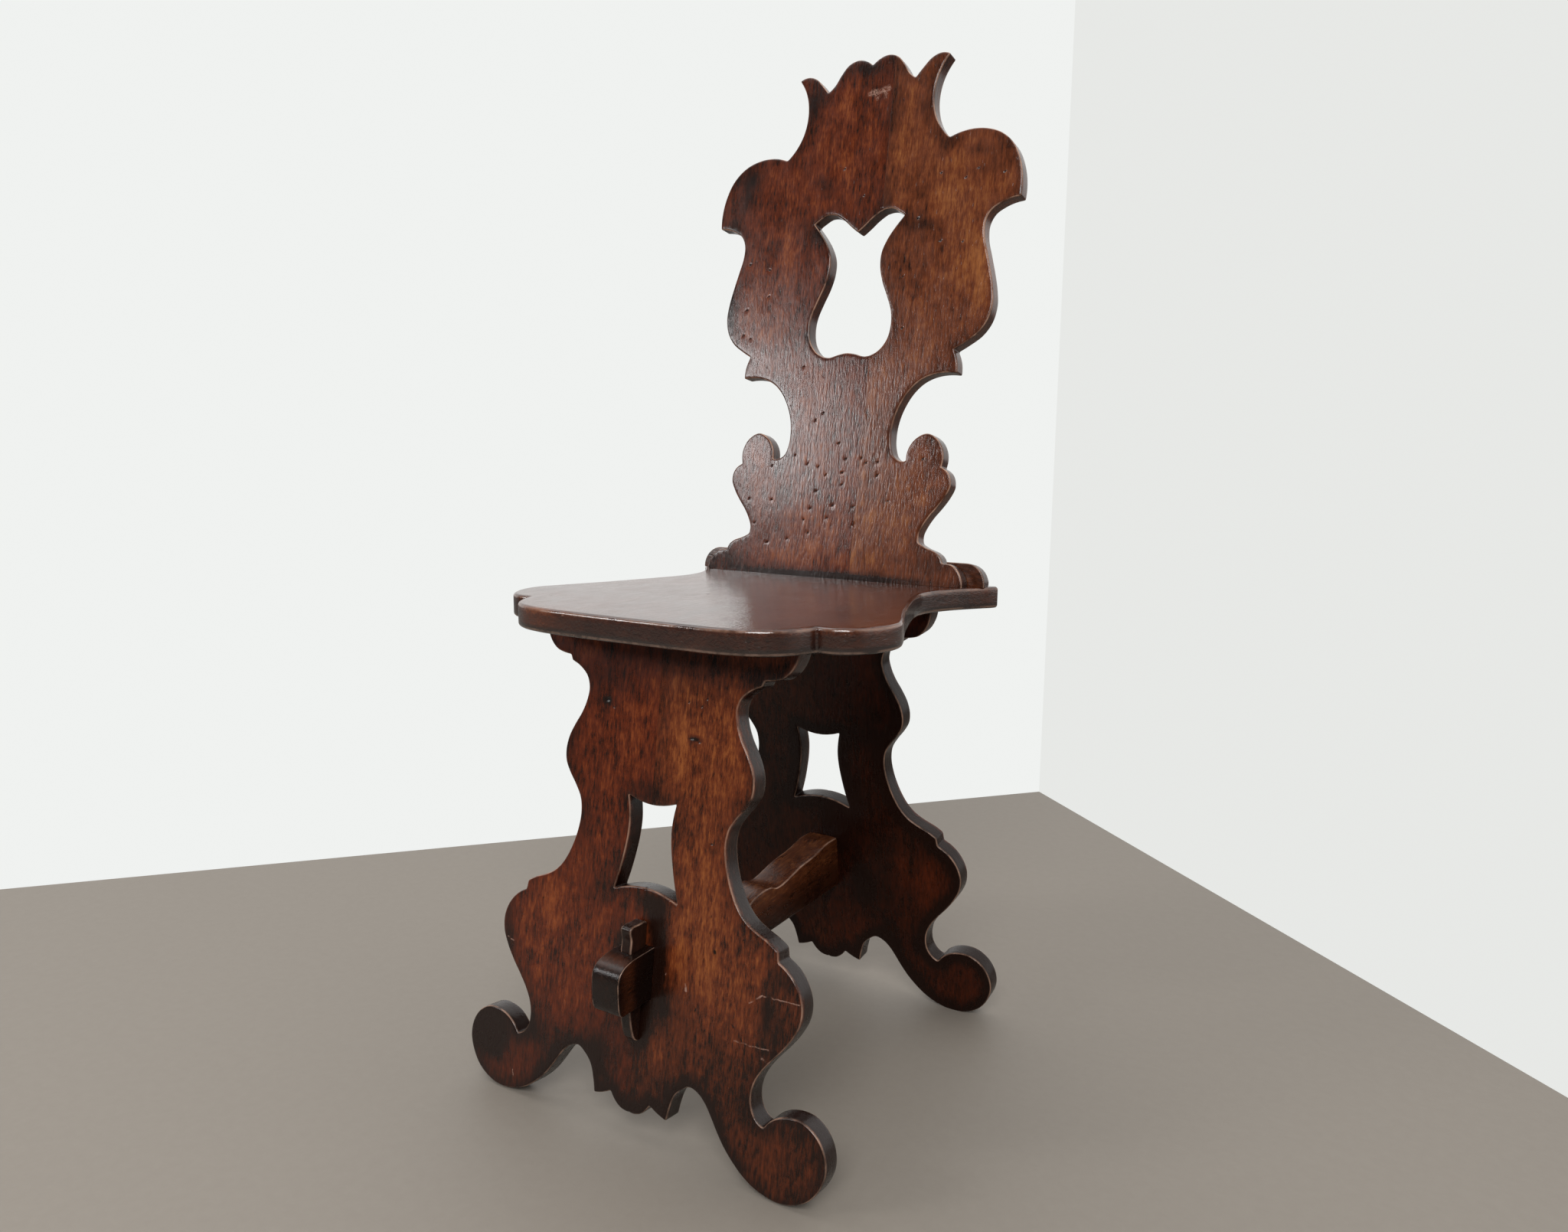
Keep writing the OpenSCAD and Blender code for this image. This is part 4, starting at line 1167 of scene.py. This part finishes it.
# %% The back
SCUFF = [((0, 525), (23, 528), 4.2, 0.5, 0.85), ((4, 528), (10, 520), 3.8, 0.7, 0.8),
    ((17, 528), (20, 519), 3.8, 0.8, 0.8)]
BACK_WOOD = {
    "left": {"tones": "back_dark", "shift": (5.3, 0.4, 1.7), "tone": -0.06, "lively": 1.35,
             "scratches": drawn_on(back_place, 0, SCUFF)},
    "right": {"tones": "back_light", "shift": (6.1, 0.4, 1.7), "tone": -0.04, "lively": 1.05}}
for side, look in BACK_WOOD.items():
    name = f"back_{side}_plank"
    behind = strewn(21, 50, (-180, 0), (180, 560), 32, 0.16)
    shell = shells(board([back_loop(side)], 0, -BACK_THICK, back_place, dents=(BACK_DENTS, ()),
                         stains_and_painted_light=(BACK_STAINS_AND_SHEEN, behind)), back_tenon(side))
    finish = wood(name + "_wood", turn=(TILT, 0, 0), burn=0.85, wear_and_highlight=1.2, dull=0.22, gloss=0.5, **look)
    piece(name + "_worn", "chair", name, finish, shell)

# %% [markdown]
# ## The seat
# The seat is one board with a scalloped outline, cut by two mortises for the back's tenons and by the
# sunk heads of three screws. Its arris is rounder than the others, as legs have rubbed it for longer.
# It is also the glossiest piece: seen at a low angle, it mirrors the white room.

# %% The seat
SEAT_WIDE, SEAT_DEEP, SEAT_ARRIS = 405, 384, 3.2
CLEAT_TALL, CLEAT_THICK = 24, 15
SEAT_SCREWS = (-140, 0, 140)
HEAD_WIDE, HEAD_GAP = 8, 0.1


def screw_holes(places, up):
    """Round holes in a row, for the sunk heads of the screws."""
    return [Loop((circle(x, up, HEAD_WIDE / 2 + HEAD_GAP), False, 0)) for x in places]


def seat_loops():
    """The scalloped outline, drawn from the front edge back, the two mortises and the screw holes."""
    half = smooth_line(SEAT_ROWS)
    half = stretched(half, SEAT_WIDE, SEAT_DEEP, half[:, 1].max())
    loops = [Loop((np.vstack([half, mirrored(half)[1:]]), True, 0))]
    face_y = FACE_Y - SEAT_FRONT
    for x in BACK_FOOT.values():
        near = face_y + (BACK_THICK / 2 - FOOT_THICK / 2 - GLUE_GAP) / math.cos(TILT)
        past = face_y + (BACK_THICK / 2 + FOOT_THICK / 2 + GLUE_GAP) / math.cos(TILT)
        hole = block(x - FOOT_WIDE / 2 - GLUE_GAP, near, x + FOOT_WIDE / 2 + GLUE_GAP, past)
        loops.append(Loop((hole, False, math.tan(TILT))))
    behind = face_y + (BACK_THICK + CLEAT_THICK / 2) / math.cos(TILT) + CLEAT_TALL / 2 * math.tan(TILT)
    return loops + screw_holes(SEAT_SCREWS, behind)


SEAT_STAINS = unturned([
    (-120, 0, 60, 12, -0.26), (-60, -4, 40, 10, 0.10), (60, 0, 80, 10, 0.10), (0, 345, 200, 8, 0.2),
    (150, 110, 30, 60, 0.08), (-90, 150, 60, 80, 0.05)])
SEAT_DENTS = unturned([
    (-27, 162, 1.6, 1.2, 0.5), (32, 204, 1.5, 1.2, 0.5), (-141, 68, 1.4, 1.0, 0.4), (69, 243, 1.4, 1.0, 0.4)])
SEAT_SCRATCHES = [((154, SEAT_FRONT + 1, 470), (160, SEAT_FRONT + 1, 468), 3.2, -0.3, 0.9),
    ((-66, SEAT_FRONT, 466), (-62, SEAT_FRONT, 466), 1.6, 0.2, 0.7)]
# Under the seat: stains thrown at random over the broad painted shade.
under_seat = strewn(31, 30, (-200, 0), (200, 380), 40, 0.12) + INNER_PAINTED_SHADE
finish = wood("seat_wood", "seat_wood", ALONG_DEPTH, (7.7, 0.9, 0.3), tone=-0.2, burn=0.0,
              wear_and_highlight=0.45, dull=0.15, gloss=1.0, scratches=SEAT_SCRATCHES)
piece("seat_board_worn", "chair", "seat_board", finish,
      board(seat_loops(), 0, -SEAT_THICK, seat_place, arris=SEAT_ARRIS, dents=(SEAT_DENTS, ()),
            stains_and_painted_light=(SEAT_STAINS, under_seat)))

# %% [markdown]
# ## The cleat
# A low strip with quarter-round ends lies on the seat behind the back and takes the screws of both.
# It is drawn on the back's own plane, so its foot slants where it meets the level seat.

# %% The cleat behind the back
CLEAT_WIDE, CLEAT_FOOT, CLEAT_ARRIS = 350, 3, 1.5
CLEAT_SCREWS, CLEAT_SCREW_UP = (-125, -45, 45, 125), 14


def cleat_loops():
    """A strip whose upper corners are quarter circles, and its screw holes."""
    rise = BACK_THICK * math.tan(TILT)
    tall, radius = CLEAT_TALL + rise, CLEAT_TALL - CLEAT_FOOT
    turn = np.linspace(0, math.pi / 2, 24)
    end = np.stack([CLEAT_WIDE / 2 - radius * (1 - np.cos(turn)), tall - radius * (1 - np.sin(turn))], 1)
    edge = np.vstack([(CLEAT_WIDE / 2, 0), end])
    outer = Loop((line((-CLEAT_WIDE / 2, 0), (CLEAT_WIDE / 2, 0)), False, -math.tan(TILT)),
                 (np.vstack([edge, mirrored(edge)]), True, 0))
    return [outer] + screw_holes(CLEAT_SCREWS, CLEAT_SCREW_UP + rise)


finish = wood("cleat_wood", "rail_wood", ALONG_WIDTH, (8.2, 0.2, 0.5))
piece("back_cleat_worn", "chair", "back_cleat", finish,
      board(cleat_loops(), -BACK_THICK, -BACK_THICK - CLEAT_THICK, back_place, arris=CLEAT_ARRIS))

# %% [markdown]
# ## The stretcher and its keys
# A rail ties the trestles together. Its tenons pass through them, and outside each one a loose key
# in a slot of the tenon pulls the trestle tight. The rail is a board drawn from the side. A tenon is
# drawn in plan, and its rounded nose is a height over that plan. A key is drawn from its side too.

# %% The rail
RAIL_ROWS = [[0, 48, LEVEL], [10, 47.5], [19, 46, CORNER], [25, 43], [33, 42.2], [46, 43.7],
    [59, 46.3], [72, 48.8], [98, 51.2], [111, 52.7], [124, 55.6], [136, 57.5, CORNER],
    [155, 57.5, CORNER]]
# Painted shade: one broad dark oval low on both sides of the rail, so that its sides stay darker than its
# top.
RAIL_PAINTED_SHADE = unturned([(0, 128, 400, 34, 0.30)])


def trestle_y(end, out, z):
    """Where the plane that lies out from a trestle's middle plane stands at height z."""
    s = LEAN[end]
    return FOOT_Y[end] - OUT[end] * (z - LIFT[end]) * math.tan(s) + OUT[end] * out / math.cos(s)


def rail_shell():
    """The stretcher between the trestles, drawn from the side: along, up, and across as its depth."""
    half = smooth_line(RAIL_ROWS)
    front = trestle_y("front", -TRESTLE_THICK / 2, RAIL_HIGH)
    rear = trestle_y("rear", -TRESTLE_THICK / 2, RAIL_HIGH)
    middle, long = (front + rear) / 2, (rear - front) / 2 / half[-1, 0]
    top = np.column_stack([half[:, 0] * long, half[:, 1] + RAIL_LOW])
    low_front = (trestle_y("front", -TRESTLE_THICK / 2, RAIL_LOW), RAIL_LOW)
    low_rear = (trestle_y("rear", -TRESTLE_THICK / 2, RAIL_LOW), RAIL_LOW)
    rear_top = np.vstack([mirrored(top), top[1:]])[::-1] + (middle, 0)
    loop = Loop((line(low_front, low_rear), True, 0),
                (line(low_rear, rear_top[0]), False, 0),
                (rear_top, True, 0),
                (line(rear_top[-1], low_front), False, 0))
    return board([loop], RAIL_WIDE / 2, -RAIL_WIDE / 2, lambda p: p[:, [2, 0, 1]],
                 stains_and_painted_light=(RAIL_PAINTED_SHADE, RAIL_PAINTED_SHADE))


# %% The tenons
KEY_WIDE, KEY_DEEP, KEY_TAIL = 12, 21, 86
# The nose from the side, as shares of how far the tenon stands out and of its depth
NOSE_TOP = [[0.4, 0, CORNER], [0.52, -0.002], [0.7, -0.03], [0.84, -0.08], [0.94, -0.17],
    [0.99, -0.3], [1, -0.38, CORNER]]
NOSE_FOOT = [[0.86, -1, CORNER], [0.94, -0.94], [0.97, -0.85], [0.99, -0.65], [1, -0.55, CORNER]]
# Dark ovals near the trestle and at the nose, which the side walls share: partly stain, and partly painted
# shade that keeps the tenon's sides near black.
TENON_STAINS_AND_SHADE = unturned([(0, 10, 60, 26, 0.48), (0, 46, 60, 14, 0.34)])
TENON_ARRIS = 1.6
SLIDE_GAP, DRAW_IN = 0.3, 2
# A point of a tenon is on its side wall if it is this close to it
SIDE_SKIN = 0.4
# How far the key narrows, as a share of its depth, for each millimetre down its straight outer side
KEY_TAPER = 0.19 / 0.59 / KEY_TAIL


def tenon_shell(end):
    """A tenon drawn in plan: across, outwards from the trestle, and up. Its nose is a height."""
    s = LEAN[end]
    slope = -math.tan(s)
    mid = TENON_DEEP / 2
    start = mid * slope - TRESTLE_THICK / math.cos(s)
    inner = mid * slope - DRAW_IN / math.cos(s)
    outer = mid * slope + (KEY_DEEP + 2 * SLIDE_GAP) / math.cos(s)
    half, slot = TENON_WIDE / 2, KEY_WIDE / 2 + SLIDE_GAP
    outline = Loop((line((-half, start), (half, start)), False, slope),
                   (line((half, start), (half, TENON_OUT), (-half, TENON_OUT), (-half, start)), True, 0))
    taper = slope + KEY_DEEP * KEY_TAPER / math.cos(s) ** 2
    around = [(-slot, inner), (-slot, outer), (slot, outer), (slot, inner), (-slot, inner)]
    hole = Loop(*sides(around, (slope, taper, taper, slope)))
    drop, foot = (smooth_line([[row[0] * TENON_OUT, row[1] * TENON_DEEP] + row[2:] for row in rows])
                  for rows in (NOSE_TOP, NOSE_FOOT))
    face_y = trestle_y(end, TRESTLE_THICK / 2, RAIL_HIGH - mid)

    def place(p):
        x, y, z = p.T
        return np.column_stack([x, face_y + OUT[end] * y, RAIL_HIGH + z])

    points, triangles, marks = board(
        [outline, hole], 0, -TENON_DEEP, place, stains_and_painted_light=(TENON_STAINS_AND_SHADE, TENON_STAINS_AND_SHADE), pitch=1.5,
        arris=TENON_ARRIS, over=lambda p: np.interp(p[:, 1], drop[:, 0], drop[:, 1]),
        under=lambda p: np.interp(p[:, 1], foot[:, 0], foot[:, 1] + TENON_DEEP))
    # Its pale arrises, partly wear and partly painted highlight, are the two curved ones, where the side
    # view meets the sides
    profile = np.vstack([(start, 0), drop, foot[::-1], (start, -TENON_DEEP)])
    seen = np.column_stack([OUT[end] * (points[:, 1] - face_y), points[:, 2] - RAIL_HIGH])
    across = np.abs(points[:, 0])
    to_profile = distance(seen, profile[:-1], profile[1:])
    marks[:, 0] = np.where(across < half - SIDE_SKIN, half - across, -to_profile)
    return points, triangles, marks


# %% The keys
KEY_HEAD, KEY_ARRIS = 22, 1.8
# The key from the side, as shares of its depth and of its head above or its tail below the tenon's top
KEY_ROWS = [[0, -1, CORNER], [0.26, -0.97], [0.5, -0.87], [0.68, -0.73], [0.81, -0.59, CORNER],
    [1, 0, CORNER], [0.97, 0.2], [0.98, 0.4], [1.06, 0.58], [1.11, 0.73], [1.07, 0.87],
    [0.92, 0.93], [0.5, 0.96], [0.12, 1], [0, 0.95, CORNER]]


def key_shell(end):
    """A key drawn from its side: out from the trestle, up from the tenon's top, and across."""
    s = LEAN[end]
    rows = [[r[0] * KEY_DEEP, r[1] * (KEY_TAIL if r[1] < 0 else KEY_HEAD)] + r[2:] for r in KEY_ROWS]
    shape = smooth_line(rows + [rows[0]])
    up = (RAIL_HIGH - 2 * LIFT[end]) / math.cos(s)
    stand = trestle_place(end)

    def place(p):
        out, high, across = p.T
        return stand(np.column_stack([-across, up + high, TRESTLE_THICK / 2 + SLIDE_GAP + out]))
    return board([Loop((shape, True, 0))], KEY_WIDE / 2, -KEY_WIDE / 2, place, arris=KEY_ARRIS, pitch=3)


# %% The stretcher and the keys, put together
finish = wood("rail_wood", "rail_wood", ALONG_DEPTH, (9.1, 0.7, 0.3), tone=0.14, burn=0.3, wear_and_highlight=1.0)
piece("stretcher_worn", "chair", "stretcher", finish,
      shells(rail_shell(), tenon_shell("front"), tenon_shell("rear")))
for end, far in (("front", 0.3), ("rear", 1.9)):
    finish = wood(f"{end}_key_wood", "key_wood", (LEAN[end], 0, 0), (10.5, 0.7, far),
                  tone=-0.3, burn=0.5, wear_and_highlight=1.0)
    piece(f"{end}_wedge_worn", f"{end}_key", f"{end}_wedge", finish, key_shell(end))

# %% [markdown]
# ## Screws
# The screws are right as the frame has them, so they only get dull, browned iron.

# %% Iron
IRON_GREY, IRON_BROWN = (0.16, 0.14, 0.125), (0.09, 0.045, 0.025)


def iron():
    """Grey iron with brown spots, which are also a little duller."""
    material, g = new_finish("browned_iron", empty=False)
    shader = material.node_tree.nodes["Principled BSDF"]
    spots = g.noise(g.node("ShaderNodeTexCoord").outputs["Object"], (700, 700, 700), 4, 0.6)
    g.feed(shader.inputs["Base Color"], g.mix(g.between(spots, -0.4, 0.9), IRON_GREY, IRON_BROWN))
    g.feed(shader.inputs["Roughness"], g.math("MULTIPLY_ADD", spots, 0.1, 0.5))
    shader.inputs["Metallic"].default_value = 0.8
    return material


IRON = iron()
for name in ("cleat_screws", "seat_screws"):
    for slot in frame["nodes"][name].material_slots:
        slot.material = IRON
    print(name, "stay as the frame has them")

# %% [markdown]
# ## The studio
# The chair stands on a plain floor between two white backdrops. They only show themselves to the
# camera, and only from the chair's side, so they close off the floor, throw no shade, and are not in
# the way when the chair is looked at from behind.

# %% Floor and backdrops
FLOOR_RADIUS = 3.0
CORNER_AT = (-0.017, 0.962)
DROP_TURN = {"left_drop": math.radians(228.6), "right_drop": math.radians(-41.1)}
DROP_LONG, DROP_HIGH = 3.5, 2.8
# The right backdrop is a darker white than the left: painted shade on that side of the corner.
DROP_COLOR = {"left_drop": (0.87, 0.885, 0.87), "right_drop": (0.80, 0.81, 0.79)}
FLOOR_COLORS, FLOOR_DULL = ((0.232, 0.203, 0.172), (0.248, 0.219, 0.185)), 0.55


def stage_piece(name, points, faces, material):
    """A piece of the studio, which isn't part of the chair."""
    mesh = bpy.data.meshes.new(name)
    mesh.from_pydata(points, [], faces)
    mesh.materials.append(material)
    shown(name, mesh)
    print(name, "stands round the chair")


def floor_material():
    """Two close greys, mixed by fine noise."""
    material, g = new_finish("floor", empty=False)
    shader = material.node_tree.nodes["Principled BSDF"]
    specks = g.noise(g.node("ShaderNodeTexCoord").outputs["Object"], (90, 90, 90), 4, 0.7)
    g.feed(shader.inputs["Base Color"], g.mix(g.between(specks, -1.5, 1.5), *FLOOR_COLORS))
    shader.inputs["Roughness"].default_value = FLOOR_DULL
    return material


def drop_material(name):
    """White light for camera rays that meet the backdrop from the chair's side, and nothing for others."""
    material, g = new_finish(name)
    paint = g.node("ShaderNodeEmission", {"Color": DROP_COLOR[name], "Strength": 1.0})
    behind = g.node("ShaderNodeNewGeometry").outputs["Backfacing"]
    to_lens = g.node("ShaderNodeLightPath").outputs["Is Camera Ray"]
    seen = g.math("MULTIPLY", to_lens, g.math("SUBTRACT", 1.0, behind))
    clear = g.node("ShaderNodeBsdfTransparent")
    both = g.node("ShaderNodeMixShader", {0: seen, 1: clear.outputs[0], 2: paint.outputs[0]})
    g.node("ShaderNodeOutputMaterial", {"Surface": both.outputs[0]})
    return material


# %% The studio, put together
turn = np.linspace(0, 2 * math.pi, 96, endpoint=False)
rim = np.column_stack([FLOOR_RADIUS * np.cos(turn), FLOOR_RADIUS * np.sin(turn), 0 * turn])
stage_piece("floor", rim.tolist(), [list(range(len(turn)))], floor_material())
for name, angle in DROP_TURN.items():
    x, y = CORNER_AT
    far_x, far_y = x + DROP_LONG * math.cos(angle), y + DROP_LONG * math.sin(angle)
    corners = [(x, y, 0), (far_x, far_y, 0), (far_x, far_y, DROP_HIGH), (x, y, DROP_HIGH)]
    order = [0, 1, 2, 3] if name == "right_drop" else [3, 2, 1, 0]
    stage_piece(name, corners, [order], drop_material(name))

# %% [markdown]
# ## The light
# Two large soft lamps stand where no board mirrors them into the lens. A small one on the left is
# mirrored low on the back, where it leaves the pale sheen that tells waxed wood from dry. The world is
# white behind and beside the chair and dim on the viewer's side, so that the upright boards mirror
# little and the seat, which is seen at a low angle, mirrors white.

# %% The world
DIM, PALE, BELOW = 0.05, 1.0, 0.18
# Where along the depth of a direction the dim part of the world ends and the pale part starts
DIM_TO, PALE_FROM = -0.35, 0.1
DAYLIGHT = (1.0, 0.99, 0.97)


def studio():
    """The world: dim in front of the chair, pale beside and behind it, and grey below the floor."""
    world = bpy.data.worlds.new("studio")
    world.use_nodes = True
    world.node_tree.nodes.clear()
    g = Graph(world.node_tree)
    axes = g.node("ShaderNodeSeparateXYZ", {0: g.node("ShaderNodeTexCoord").outputs["Generated"]}).outputs
    side = g.math("MULTIPLY_ADD", g.between(axes["Y"], DIM_TO, PALE_FROM), PALE - DIM, DIM)
    down = g.between(axes["Z"], 0.0, -0.1)
    above = g.math("MULTIPLY", side, g.math("SUBTRACT", 1.0, down))
    level = g.math("ADD", above, g.math("MULTIPLY", down, BELOW))
    around = g.node("ShaderNodeBackground", {"Color": DAYLIGHT, "Strength": level})
    white = g.node("ShaderNodeBackground", {"Color": DROP_COLOR["left_drop"], "Strength": 1.0})
    path = g.node("ShaderNodeLightPath").outputs
    open_ray = g.math("MAXIMUM", path["Is Camera Ray"], path["Is Transmission Ray"])
    seen = g.node("ShaderNodeMixShader", {0: open_ray, 1: around.outputs[0], 2: white.outputs[0]})
    g.node("ShaderNodeOutputWorld", {"Surface": seen.outputs[0]})
    return world


# %% The lamps


def lamp(name, turn, rise, far, wide, tall, watts, aim=(0, 0, 0.5)):
    """A flat lamp seen from the chair at an angle left of the front, a rise and a distance."""
    turn, rise = math.radians(turn), math.radians(rise)
    away = Vector((-math.sin(turn) * math.cos(rise), -math.cos(turn) * math.cos(rise), math.sin(rise)))
    data = bpy.data.lights.new(name, "AREA")
    data.shape = "RECTANGLE"
    data.size, data.size_y = wide, tall
    data.energy = watts
    turned = away.to_track_quat("Z", "Y").to_matrix().to_4x4()
    shown(name, data).matrix_world = Matrix.Translation(Vector(aim) + far * away) @ turned
    print(name, "gives", watts, "W")


bpy.context.scene.world = studio()
lamp("right_lamp", -28, 34, 2.6, 1.5, 1.3, 53)
lamp("top_lamp", 70, 62, 2.8, 1.8, 1.8, 18)
lamp("sheen_lamp", 39.0, 15.5, 3.0, 0.60, 0.54, 19.5, aim=(-0.06, 0.15, 0.65))
bpy.context.scene.view_settings.view_transform = "Standard"
